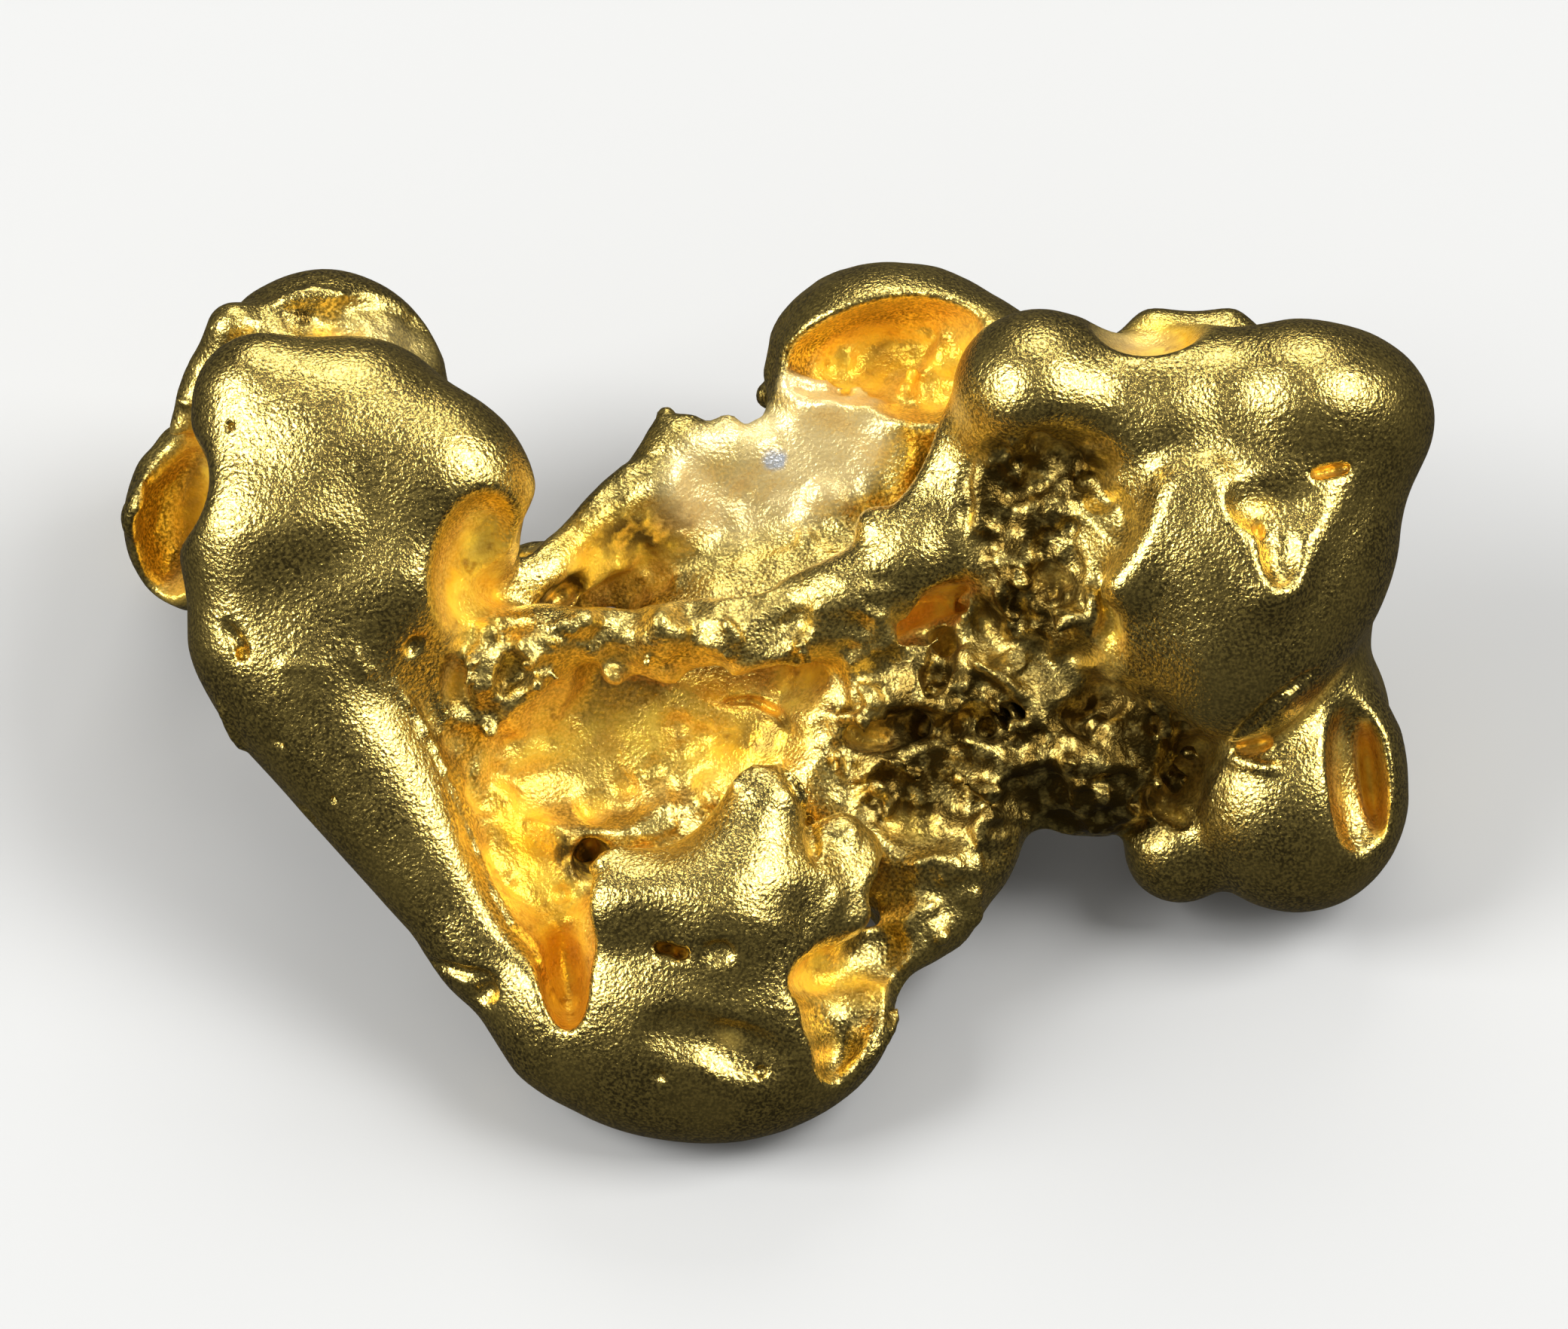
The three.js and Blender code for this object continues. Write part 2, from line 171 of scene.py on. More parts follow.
def add(shape, blend):
    """Melts a lump of gold into the field."""
    centre, reach, distance = shape
    part, across, up, out = block(centre, reach + blend + MARGIN)
    field[part] = melt(field[part], distance(across, up, out), blend)


def carve(shape, blend):
    """Takes a hollow out of the field."""
    centre, reach, distance = shape
    part, across, up, out = block(centre, reach + blend + MARGIN)
    field[part] = -melt(-field[part], distance(across, up, out), blend)


def gold_so_far():
    """How much gold the field holds, in words."""
    return f"{(field < 0).sum() * STEP ** 3:.1f} mm3 of gold"


print("where two soft lumps meet, the gold swells by", -round(float(melt(0.0, 0.0, SOFT)), 3), "mm")

# %% [markdown]
# ## Core
# Most of the body that joins the lobes is out of sight. It could be left out, but the object is
# looked at from all sides, and the real one has a back too. A few wide eggs make it.

# %% Core
add(egg([0.9, 0.35, -1.25], [2.9, 1.15, 0.7], 8), MELTED)  # behind the bridge and the neck
add(egg([-1.3, -0.9, -0.7], [1.75, 1.4, 0.55], -30), MELTED)  # floor of the middle hollow
add(egg([-2.15, -1.45, -0.5], [0.8, 1.4, 0.5], 20), SOFT)  # floor beside the arm
add(egg([0.5, -0.7, -0.45], [0.7, 0.75, 0.5]), SOFT)  # floor at the right end of the hollow
add(egg([3.9, 1.0, -0.9], [1.6, 1.6, 1.0]), MELTED)  # body of the right lobe
print("core:", gold_so_far())

# %% [markdown]
# ## The flap behind the left lobe
# Behind the left lobe stands a thin cup of gold, beaten out by pebbles, with its rim to the left and
# one of the three feet underneath. A sheet could be bent and thickened, but an egg with a hollow
# carved out of it gives a rim that grows thinner towards its edge, as beaten gold does.

# %% Back flap
add(egg([-4.22, 2.3, -1.75], [1.33, 1.68, 1.1], -8), SOFT)
add(bar([-4.95, 3.4, -1.2], [-5.79, 1.7, -1.8], 0.26, 0.22), FIRM)  # the rim
add(egg([-5.2, 1.75, -2.2], [0.8, 0.95, 0.85], -22), FIRM)
add(egg([-4.95, 1.85, -3.2], [0.8, 0.8, 0.78]), SOFT)  # foot
print("with the flap:", gold_so_far())

# %% [markdown]
# ## Back wall and back lobe
# The pale bowl has a wall behind it that climbs to the right and ends in a hollow lobe. A bent sheet
# would have one thickness everywhere. So the wall is one leaning egg with bars along its upper edge,
# and its outline steps up as the real one does.

# %% Back wall and back lobe
add(egg([0.1, 1.7, -1.65], [1.9, 1.1, 0.55], 24), SOFT)
add(bar([-3.0, 0.95, -0.45], [-2.2, 1.1, -0.85], 0.42, 0.36), SOFT)  # root under the left lobe's nose
add(bar([-2.2, 1.1, -0.85], [-0.75, 2.15, -1.45], 0.36, 0.46), SOFT)
add(egg([-2.1, 0.9, -1.7], [0.7, 0.6, 0.4]), SOFT)
add(egg([-0.95, 2.35, -1.4], [0.3, 0.34, 0.3]), FIRM)  # small bump on the edge
add(egg([1.1, 3.05, -1.95], [1.22, 1.03, 1.15]), SOFT)
add(egg([1.95, 2.92, -1.6], [0.92, 0.72, 0.9], -22), SOFT)
add(egg([1.2, 2.3, -2.3], [1.2, 1.1, 0.8]), SOFT)
print("with the back:", gold_so_far())

# %% [markdown]
# ## Left lobe and arm
# The left lobe is the smoothest part: two rounded ridges with a saddle between them, and a nose that
# overhangs on the right. The arm runs down from it and thins towards the bottom lobe. Eggs alone
# would swell in the middle of each ridge. Bars keep their width or thin evenly, so bars carry them.

# %% Left lobe and arm
add(bar([-4.66, 2.72, 0.05], [-4.66, 1.55, 0.3], 0.64, 0.66), SOFT)  # outer ridge
add(bar([-4.66, 1.55, 0.3], [-4.64, 0.6, 0.24], 0.66, 0.66), SOFT)
add(bar([-4.2, 2.4, 0.22], [-4.22, 1.6, 0.42], 0.6, 0.6), SOFT)  # its inner shoulder
add(bar([-3.84, 1.05, -0.1], [-3.84, 2.3, -0.1], 1.05, 1.05), SOFT)  # saddle
add(egg([-3.06, 2.02, 0.15], [0.96, 0.76, 0.85], -28), SOFT)  # nose
add(bar([-3.0, 2.15, 0.15], [-3.36, 1.1, 0.52], 0.58, 0.5), SOFT)  # inner ridge
add(egg([-3.9, 0.75, 0.08], [1.1, 0.9, 0.85]), SOFT)
add(bar([-4.18, 0.15, 0.14], [-2.62, -2.2, 0.28], 0.84, 0.44), SOFT)  # arm
add(bar([-2.62, -2.2, 0.28], [-1.95, -2.95, 0.35], 0.44, 0.52), SOFT)
add(egg([-2.95, -0.4, -0.25], [0.5, 0.65, 0.5]), SOFT)  # web between arm and bridge
print("with the left side:", gold_so_far())

# %% [markdown]
# ## Bottom lobe
# The bottom lobe is a round knob with a blunt peak, a shoulder on each side of it, and a web that
# runs up to the neck. One egg gives the knob. The rest is melted into its top lump by lump, because
# the eye reads this lobe by the slopes that catch the light.

# %% Bottom lobe
add(egg([-0.7, -2.72, 0.38], [1.8, 1.28, 1.02]), SOFT)
add(egg([-0.78, -1.75, 0.66], [1.46, 0.51, 0.8], 8), SOFT)  # broad upper body
add(bar([-0.4, -1.9, 0.85], [-0.09, -0.95, 0.8], 0.7, 0.4), SOFT)  # peak
add(egg([-1.38, -1.78, 0.72], [0.46, 0.52, 0.5], 20), SOFT)  # left shoulder
add(bar([0.42, -1.85, 0.6], [0.64, -1.35, 0.5], 0.5, 0.36), FIRM)  # right shoulder
add(bar([0.85, -2.35, 0.25], [1.45, -1.95, -0.1], 0.34, 0.34), SOFT)  # web to the neck
print("with the bottom lobe:", gold_so_far())

# %% [markdown]
# ## Bridge
# A knobbly bridge crosses from the left lobe to the right one, above the middle hollow. A curve with
# thickness could be the start of it, but bars melt into the lobes at both ends. Its knobs come
# later, so here it is only a chain of bars.

# %% Bridge
add(bar([-3.1, 0.35, -0.1], [-2.3, 0.2, -0.1], 0.55, 0.62), SOFT)
add(egg([-2.2, 0.22, 0.0], [0.52, 0.62, 0.6]), FIRM)
add(bar([-2.0, 0.5, 0.0], [-0.9, 0.5, 0.05], 0.36, 0.38), FIRM)
add(bar([-0.9, 0.5, 0.05], [0.6, 0.8, 0.05], 0.4, 0.46), FIRM)
add(bar([0.6, 0.8, 0.05], [1.25, 1.35, 0.05], 0.46, 0.42), SOFT)
add(bar([1.25, 1.35, 0.05], [1.7, 2.3, 0.0], 0.42, 0.36), SOFT)
print("with the bridge:", gold_so_far())

# %% [markdown]
# ## Right lobe
# The biggest lump looks like a back tooth: bulging corners above, and three blunt roots that run
# down its front. One big egg would be too pointed. Eggs of nearly the same size, melted far into each
# other, keep its front broad. A thin rim stands behind the cup in its top, on an egg of its own.

# %% Right lobe
add(egg([2.4, 2.78, 0.3], [0.8, 0.8, 0.95], 20), SOFT)  # upper left corner
add(egg([3.6, 2.55, 0.15], [1.2, 0.92, 0.98]), MELTED)
add(egg([4.85, 2.66, 0.3], [0.98, 0.82, 0.95], -8), SOFT)  # upper right corner
add(egg([5.25, 2.58, 0.1], [0.76, 0.72, 0.75]), SOFT)
add(egg([4.85, 1.6, 0.1], [0.86, 1.3, 0.95], -6), MELTED)
add(egg([4.2, 1.1, 0.35], [1.05, 1.45, 1.05]), MELTED)
add(egg([3.3, 1.2, 0.1], [1.1, 1.1, 0.9]), MELTED)
add(egg([2.3, 1.7, -0.1], [0.8, 1.2, 0.85]), SOFT)
add(bar([3.2, 3.22, -0.4], [3.45, 3.38, -0.45], 0.16, 0.17), FIRM)  # far rim of its cup
add(bar([3.45, 3.38, -0.45], [4.15, 3.38, -0.45], 0.17, 0.17), FIRM)
add(bar([4.15, 3.38, -0.45], [4.45, 3.2, -0.4], 0.17, 0.16), FIRM)
add(egg([3.82, 3.02, -0.78], [0.75, 0.5, 0.5]), SOFT)  # what the rim stands on
add(egg([3.82, 1.5, 0.54], [0.76, 0.82, 0.8]), SOFT)  # flat of the front, between the roots
add(bar([3.66, 1.9, 1.14], [3.18, 1.08, 1.02], 0.15, 0.2), FIRM)  # left root
add(bar([3.92, 2.02, 1.16], [4.48, 1.0, 1.3], 0.14, 0.22), FIRM)  # middle root
add(bar([5.12, 2.05, 0.86], [4.62, 1.15, 1.2], 0.13, 0.19), FIRM)  # right root
print("with the right lobe:", gold_so_far())

# %% [markdown]
# ## Neck and right foot
# The neck is the spongy part between the bridge, the bottom lobe and the right foot. The foot hangs
# lower than the rest and carries the right side. Only their bulk is laid here, because the holes of
# the sponge come from random numbers, after everything that is placed one by one.

# %% Neck and right foot
add(egg([1.75, -0.05, -0.4], [1.45, 1.0, 0.8]), SOFT)
add(egg([2.9, -0.3, -0.5], [0.95, 0.95, 0.85]), SOFT)
add(egg([1.4, -1.15, -0.35], [0.86, 1.0, 0.78], -25), SOFT)
add(egg([4.76, -0.85, -0.7], [1.03, 1.08, 1.02]), SOFT)  # foot
add(egg([4.7, -0.2, -1.42], [0.95, 1.1, 1.02]), SOFT)
add(egg([3.72, -1.32, -0.8], [0.52, 0.52, 0.5]), FIRM)  # knob on its left
add(bar([4.95, 0.5, -0.5], [5.0, -0.3, -0.6], 0.36, 0.66), SOFT)  # ankle
print("all lumps:", gold_so_far())

# %% [markdown]
# ## Hollows
# The hollows give the nugget its character. Gold first filled the gaps between crystals of quartz,
# and when the quartz was gone, smooth pockets were left. A boolean cut would give them razor edges,
# while carving in the field rounds each rim by its blend. They are carved after all the lumps are in,
# so that no later lump fills them again.

# %% Hollows on the left and in the middle
carve(egg([-5.48, 1.95, 0.2], [0.38, 0.5, 0.9]), FIRM)  # waist of the outer ridge
carve(egg([-2.62, 1.2, 0.95], [0.46, 0.7, 0.72], -8), CRISP)  # notch under the nose
carve(egg([-1.97, 1.83, 0.0], [0.16, 0.55, 1.6], -38), CRISP)
carve(egg([-1.45, -0.45, 0.45], [1.3, 0.74, 0.85], 14), FIRM)  # the deep middle hollow
carve(egg([-2.2, -1.35, 0.7], [0.5, 1.3, 0.75], 24), FIRM)
carve(egg([-1.9, -2.35, 0.75], [0.24, 0.62, 0.85], 6), CRISP)  # its tail
carve(egg([-0.3, -0.35, 0.25], [0.65, 0.42, 0.6]), FIRM)
carve(egg([-1.36, -0.9, 0.5], [0.42, 0.27, 0.85], 12), CRISP)  # cliff above the bottom lobe
carve(egg([-0.82, -0.62, 0.45], [0.4, 0.24, 0.85], 36), CRISP)
carve(bar([-5.1, 2.9, -0.95], [-5.5, 1.65, -1.3], 0.1, 0.32), CRISP)  # cup of the flap
carve(egg([-5.48, 1.62, -1.4], [0.36, 0.82, 0.95], -14), CRISP)
carve(egg([-4.2, 3.55, -0.75], [0.6, 0.26, 0.42], -6), CRISP)  # dip in the top of the flap
print("left hollows:", gold_so_far())

# %% Hollows at the back and on the right
carve(egg([0.15, 2.05, -0.35], [1.55, 0.85, 0.9], 25), FIRM)  # the pale bowl
carve(egg([-1.15, 1.48, -0.25], [0.7, 0.42, 0.75], 30), FIRM)
carve(egg([0.95, 3.22, -0.95], [0.95, 0.42, 0.9], 14), CRISP)  # back lobe
carve(egg([1.45, 2.95, -0.75], [0.6, 0.42, 0.85], 10), CRISP)
carve(egg([3.4, 3.56, 0.55], [0.56, 0.46, 0.75]), CRISP)  # cup in the top of the right lobe
carve(egg([2.46, 2.0, 1.15], [0.66, 0.42, 0.5], 14), SOFT)  # rough hollow on its left
carve(egg([2.85, 1.58, 1.27], [0.68, 0.4, 0.42], 54), FIRM)
carve(egg([2.35, 1.25, 1.05], [0.55, 0.5, 0.45], 35), FIRM)
carve(egg([4.56, 1.82, 1.4], [0.48, 0.32, 0.28]), CRISP)  # three-cornered dimple between the roots
carve(egg([4.57, 1.45, 1.46], [0.2, 0.4, 0.24]), CRISP)
carve(egg([0.68, -2.44, 1.1], [0.56, 0.3, 0.62], 14), CRISP)  # three-cornered pocket of the bottom lobe
carve(egg([0.7, -2.75, 1.15], [0.44, 0.5, 0.58], -12), CRISP)
carve(egg([0.62, -3.1, 1.05], [0.24, 0.4, 0.5], -14), CRISP)
carve(egg([1.0, -2.26, 0.68], [0.36, 0.2, 0.45], 22), CRISP)
carve(bar([-0.62, -2.6, 1.66], [0.02, -2.96, 1.5], 0.14, 0.17), CRISP)  # its crease
carve(egg([5.33, -0.68, 0.1], [0.3, 0.76, 0.4], 4), CRISP)  # pocket of the foot
carve(egg([5.44, -0.7, -0.1], [0.12, 0.5, 0.6], 8), CRISP)
print("all hollows:", gold_so_far())

# %% [markdown]
# ## Working on the skin
# The small marks of wear are placed like decoration on a cake: by where they are on the face, not by
# how far out they lie. So a helper looks down on the field and finds the skin first. A bead is half
# sunk into the gold, a pit is carved around a spot on the skin, and grooves and ridges are rows of
# small eggs and bars that fade out at both ends.

# %% Bead, pit and dent
FRONT, BACK = 1, -1


def skin_out(across, up, side=FRONT):
    """How far out the skin lies at a place on the face, or None beside the gold."""
    i, j = (int(round((value - low) / STEP)) for value, low in zip((across, up), LOW))
    inside = np.flatnonzero(field[i, j] < 0)
    if len(inside) == 0:
        return None
    return float(out_at[inside[-1] if side == FRONT else inside[0]])


def bead(across, up, radius, proud=0.6, side=FRONT):
    """A round bead that stands proud of the skin by a share of its radius."""
    out = skin_out(across, up, side)
    if out is not None:
        add(egg([across, up, out + side * (proud - 1) * radius], [radius] * 3), radius * 0.6)


def pit(across, up, radius, depth=None, side=FRONT):
    """A round pit, as deep as it is wide unless a depth is given."""
    out = skin_out(across, up, side)
    if out is not None:
        carve(egg([across, up, out], [radius, radius, depth or radius]), radius * 0.5)


def dent(across, up, wide, long, depth, turn=0.0, side=FRONT, blend=0.08):
    """A shallow oval dent or a deep oval hole."""
    out = skin_out(across, up, side)
    if out is not None:
        carve(egg([across, up, out], [wide, long, depth], turn), blend)


print("the peak of the bottom lobe stands out", round(skin_out(-0.3, -1.5), 2), "mm")

# %% Groove, ridge and random marks
TIP_SHARE = 0.35  # how full a groove or a ridge still is at its very end
FILLING = 4  # how fast it fills up from there: fully after about a sixth of its length


def walk(corners, spacing):
    """Even steps along a line of corners, and how full the line is at each: it fades at its ends."""
    corners = np.array(corners, float)
    reached = np.concatenate([[0], np.cumsum(np.hypot(*np.diff(corners, axis=0).T))])
    steps = np.linspace(0, reached[-1], max(4, int(reached[-1] / spacing) + 1))
    across, up = (np.interp(steps, reached, corners[:, axis]) for axis in (0, 1))
    share = steps / reached[-1]
    return across, up, np.clip(TIP_SHARE + FILLING * np.minimum(share, 1 - share), 0, 1)


def groove(corners, width, depth, side=FRONT):
    """A row of small eggs carved along a line of corners."""
    across, up, full = walk(corners, width / 3)
    outs = [skin_out(a, b, side) for a, b in zip(across, up)]
    for a, b, out, share in zip(across, up, outs, full):
        if out is not None:
            half = share * width / 2
            carve(egg([a, b, out], [half, half, share * depth]), half)


def ridge(corners, width, height, side=FRONT):
    """A row of short bars along a line of corners. It breaks where the skin jumps."""
    across, up, full = walk(corners, width)
    outs = [skin_out(a, b, side) for a, b in zip(across, up)]
    tops = [
        None if out is None else (a, b, out + side * (share * height - width / 2))
        for a, b, out, share in zip(across, up, outs, full)
    ]
    for start, end in zip(tops, tops[1:]):
        if start and end and abs(start[2] - end[2]) < 3 * width:
            add(bar(start, end, width / 2, width / 2), width / 2)


def scatter(mark, centre, halves, count, radii, seed, **extra):
    """Random marks of random sizes inside an oval of the face."""
    rng = np.random.default_rng(seed)
    angle = rng.uniform(0, 2 * math.pi, count)
    far = np.sqrt(rng.uniform(0, 1, count))
    for a, f, radius in zip(angle, far, rng.uniform(*radii, count)):
        across, up = centre[0] + halves[0] * f * math.cos(a), centre[1] + halves[1] * f * math.sin(a)
        mark(across, up, radius, **extra)


print("a row of four steps is filled to", np.round(walk([(0, 0), (1, 0)], 0.33)[2], 2))

# %% [markdown]
# ## Marks on the left lobe
# The lobe is mostly smooth, so each mark on it shows: a pit with a bright lip near its lower left
# edge, small creases across its front, and a few light dents where it knocked against stones. Random
# marks would look alike all over, so these are placed one by one.

# %% Left lobe
dent(-4.87, 0.58, 0.07, 0.2, 0.09, 35)
dent(-4.8, 0.42, 0.08, 0.07, 0.07, 20)
ridge([(-4.5, 0.33), (-4.25, 0.31), (-4.02, 0.33)], 0.09, 0.03)
pit(-4.92, 2.5, 0.035, 0.06)
dent(-4.45, -0.36, 0.12, 0.035, 0.03, -12, blend=0.03)
dent(-3.95, -0.85, 0.09, 0.03, 0.03, 20, blend=0.03)
ridge([(-3.8, 0.5), (-3.75, 0.3), (-3.6, 0.22)], 0.1, 0.03)
dent(-3.27, 0.5, 0.05, 0.09, 0.08, -30, blend=0.04)
print("left lobe marked:", gold_so_far())

# %% [markdown]
# ## Marks on the arm
# The arm's right rim is rubbed to a bright edge. Its left side has a faint rib and a scratch, and
# near the bottom a nick and a pit mark where it meets the bottom lobe. Long marks could be cut with
# one thin bar, but the skin bends under them, so they are rows of small ones that follow it.

# %% Arm
ridge([(-5.0, 0.0), (-4.9, -0.25), (-4.72, -0.55)], 0.09, 0.04)
groove([(-4.3, -0.9), (-4.2, -1.02), (-4.1, -1.15)], 0.1, 0.05)
ridge(
    [(-3.45, 0.15), (-3.25, -0.1), (-3.05, -0.5), (-2.87, -0.9), (-2.72, -1.3), (-2.6, -1.65)],
    0.1, 0.05,
)
ridge([(-2.6, -1.65), (-2.42, -1.97), (-2.2, -2.2), (-2.1, -2.5), (-2.0, -2.72)], 0.1, 0.05)
dent(-2.62, -2.62, 0.12, 0.1, 0.12, 20)
groove([(-3.15, -2.35), (-2.8, -2.45), (-2.5, -2.5)], 0.09, 0.06)
print("arm marked:", gold_so_far())

# %% [markdown]
# ## Marks on the bottom lobe
# Two pits side by side sit below its peak like nostrils. Under them a crease crosses the lobe, and
# below the crease lies a flattened, bright patch. A wide, shallow dent with a soft edge flattens the
# gold there without leaving a rim.

# %% Bottom lobe
dent(-0.97, -2.22, 0.11, 0.045, 0.3, -12, blend=0.03)
dent(-0.84, -2.26, 0.07, 0.05, 0.3, blend=0.03)
ridge([(-1.1, -2.3), (-0.95, -2.36), (-0.78, -2.37)], 0.07, 0.03)
dent(-0.5, -2.25, 0.13, 0.1, 0.05)
dent(-0.72, -3.02, 0.42, 0.2, 0.13, -8, blend=0.15)
dent(-0.2, -3.2, 0.42, 0.24, 0.14, -26, blend=0.15)
pit(-1.05, -3.38, 0.055)
pit(-0.12, -3.33, 0.06)
groove([(0.05, -0.55), (0.25, -0.85), (0.32, -1.1), (0.38, -1.45)], 0.1, 0.14)
ridge([(-0.1, -0.55), (-0.5, -0.85), (-0.85, -1.12), (-1.3, -1.25), (-1.8, -1.62)], 0.1, 0.03)
ridge([(1.2, -2.35), (1.12, -2.8), (0.95, -3.1), (0.62, -3.42)], 0.1, 0.04)
print("bottom lobe marked:", gold_so_far())

# %% [markdown]
# ## Bridge, middle hollow and neck
# These parts never touched a stone. Beads of gold, holes and cracks lie as close as seeds in a fig.
# The ones that can be told apart are placed one by one, and random ones fill the rest.

# %% Bridge
for across, up, radius in (
    (-2.6, 0.62, 0.13), (-1.72, 0.66, 0.19), (-0.98, 0.63, 0.25), (-1.48, 0.25, 0.24),
    (-1.15, 0.36, 0.13), (-0.84, 0.33, 0.1), (-0.35, 0.6, 0.12), (-2.75, 0.1, 0.1),
    (-2.6, -0.28, 0.12), (-2.5, 0.4, 0.09),
):
    bead(across, up, radius, 0.75)
dent(-2.37, 0.22, 0.11, 0.16, 0.35)
ridge([(-2.15, 0.58), (-1.95, 0.5), (-1.83, 0.35), (-1.85, 0.1), (-2.05, -0.1)], 0.12, 0.07)
pit(-2.05, 0.28, 0.06, 0.12)
scatter(bead, (-0.6, 0.55), (1.7, 0.3), 24, (0.05, 0.1), 21)
print("bridge marked:", gold_so_far())

# %% Middle hollow
for across, up, radius in (
    (-1.4, -0.3, 0.05), (-1.15, -0.23, 0.05), (-1.85, -0.65, 0.06), (-2.25, -0.75, 0.1),
    (-2.4, -1.6, 0.09),
):
    bead(across, up, radius)
for across, up, radius in (
    (-0.85, -0.2, 0.08), (-0.85, -0.42, 0.07), (-0.65, -0.3, 0.04), (-2.5, -0.63, 0.04),
    (-1.95, -1.75, 0.06), (-1.4, -0.75, 0.06), (-1.1, -0.6, 0.05),
):
    pit(across, up, radius)
groove([(-0.5, 0.0), (-0.2, 0.02), (0.05, -0.1), (0.17, -0.3)], 0.08, 0.1)
dent(-1.62, -0.98, 0.08, 0.13, 0.16, 20)
dent(-1.7, -1.38, 0.15, 0.12, 0.5, 30)
dent(-1.93, 0.98, 0.26, 0.09, 0.45, 36)
print("middle hollow marked:", gold_so_far())

# %% Neck
groove([(0.7, -0.3), (1.2, -0.28), (1.7, -0.22), (2.2, -0.15)], 0.09, 0.25)
bead(1.65, -0.05, 0.17)
bead(1.75, 0.13, 0.14)
groove([(1.45, 0.15), (1.5, 0.45), (1.6, 0.62)], 0.08, 0.2)
ridge([(1.65, 0.5), (1.9, 0.3), (2.3, 0.05)], 0.2, 0.08)
for across, up, radius in ((0.2, 0.72, 0.08), (0.85, 0.65, 0.06), (1.3, 0.65, 0.08), (0.7, 0.35, 0.06)):
    pit(across, up, radius)
pit(3.0, 0.05, 0.13, 0.25)
ridge([(2.85, -0.05), (2.88, 0.18), (3.05, 0.24), (3.18, 0.1)], 0.08, 0.05)
dent(3.04, 0.65, 0.1, 0.42, 0.13, 6, blend=0.12)
ridge([(2.5, -0.05), (2.75, 0.2), (2.85, 0.6), (2.84, 1.0)], 0.12, 0.06)
dent(1.43, -0.9, 0.4, 0.46, 0.32, blend=0.2)
dent(2.75, -0.1, 0.2, 0.12, 0.2, 30)
ridge([(1.85, -0.5), (1.9, -1.0), (1.82, -1.6)], 0.14, 0.07)
scatter(bead, (1.4, -1.75), (0.5, 0.4), 22, (0.06, 0.12), 25, proud=0.4)
print("neck marked:", gold_so_far())

# %% [markdown]
# ## Right lobe and foot
# The right lobe's worn front keeps only a hole in its dimple and a groove above it. The rough hollow
# on its left is too busy to be placed bead by bead, so a few creases are drawn and the rest is
# scattered. The foot has a small cavity with a lip, and creases towards its ankle and its knob.

# %% Right lobe
dent(4.37, 1.56, 0.07, 0.11, 0.12, blend=0.04)
bead(2.8, 1.78, 0.08)
bead(2.2, 1.95, 0.06)
ridge([(2.1, 2.3), (2.3, 2.42), (2.6, 2.36), (2.75, 2.2)], 0.09, 0.05)
ridge([(2.0, 1.3), (2.08, 1.15), (2.1, 1.0)], 0.1, 0.05)
groove([(4.85, 2.05), (5.05, 2.1), (5.2, 2.12)], 0.08, 0.12)
scatter(bead, (2.35, 1.9), (0.5, 0.5), 26, (0.04, 0.1), 32)
scatter(pit, (2.4, 1.75), (0.55, 0.7), 26, (0.04, 0.1), 33)
print("right lobe marked:", gold_so_far())

# %% Foot
dent(4.33, -0.4, 0.2, 0.06, 0.16, 12, blend=0.04)
ridge([(4.1, -0.5), (4.35, -0.58), (4.6, -0.62)], 0.1, 0.05)
groove([(4.1, -0.4), (4.5, 0.0), (4.9, 0.3)], 0.08, 0.06)
groove([(3.45, -0.95), (3.6, -1.0), (3.75, -1.12)], 0.1, 0.1)
print("foot marked:", gold_so_far())

# %% [markdown]
# ## Bowl, back lobe and flap
# The bowl's floor is low and lumpy: its lumps are wide beads sunk so deep that only their tops show.
# The back lobe keeps a pale ledge under its hollow, and the flap has a web across its cup and a lip
# over the dip in its top.

# %% Bowl, back lobe and flap
ridge([(0.15, 2.95), (0.5, 2.88), (0.9, 2.85)], 0.14, 0.06)
scatter(bead, (0.2, 2.05), (1.3, 0.6), 20, (0.1, 0.22), 41, proud=0.15)
scatter(bead, (-1.2, 1.5), (0.6, 0.5), 14, (0.05, 0.12), 43, proud=0.4)
scatter(bead, (1.2, 3.1), (0.7, 0.3), 12, (0.06, 0.14), 47, proud=0.3)
ridge([(-4.6, 3.62), (-4.25, 3.75), (-3.85, 3.68)], 0.12, 0.05)
ridge([(-5.65, 2.85), (-5.45, 2.75), (-5.25, 2.68)], 0.1, 0.08)
print("bowl and flap marked:", gold_so_far())

# %% [markdown]
# ## The back
# The side that is turned to the ground lay in the stream bed. It is plainer than the face: broad
# hollows and lumps from the quartz, with many small pits and beads. It could be left smooth, but it
# would look unfinished from behind. So the same marks are pressed in from the other side.

# %% Back
scatter(dent, (-0.6, 0.4), (3.6, 2.2), 16, (0.25, 0.6), 51, long=0.4, depth=0.3, side=BACK, blend=0.2)
scatter(bead, (0.0, 0.3), (4.6, 2.6), 44, (0.12, 0.35), 52, proud=0.35, side=BACK)
scatter(pit, (0.0, 0.3), (5.0, 2.8), 150, (0.04, 0.14), 53, side=BACK)
scatter(bead, (0.0, 0.3), (5.0, 2.8), 110, (0.04, 0.12), 54, side=BACK)
print("back marked:", gold_so_far())

# %% [markdown]
# ## Rolling texture
# No worn surface is as smooth as an egg. Now that the single marks are in, the skin is shaken a
# little by smooth random numbers of several sizes, which also makes the edges of the marks uneven.
# The lobes that rubbed against pebbles get broad, faint dents. The sheltered places, where nothing
# could rub, keep their rough skin, so a map of sheltered eggs says where the strong bumps may go.
# There the sign of the numbers is dropped too: a smooth wave folds into sharp creases between round
# bumps, which looks like gold that grew against crystals.

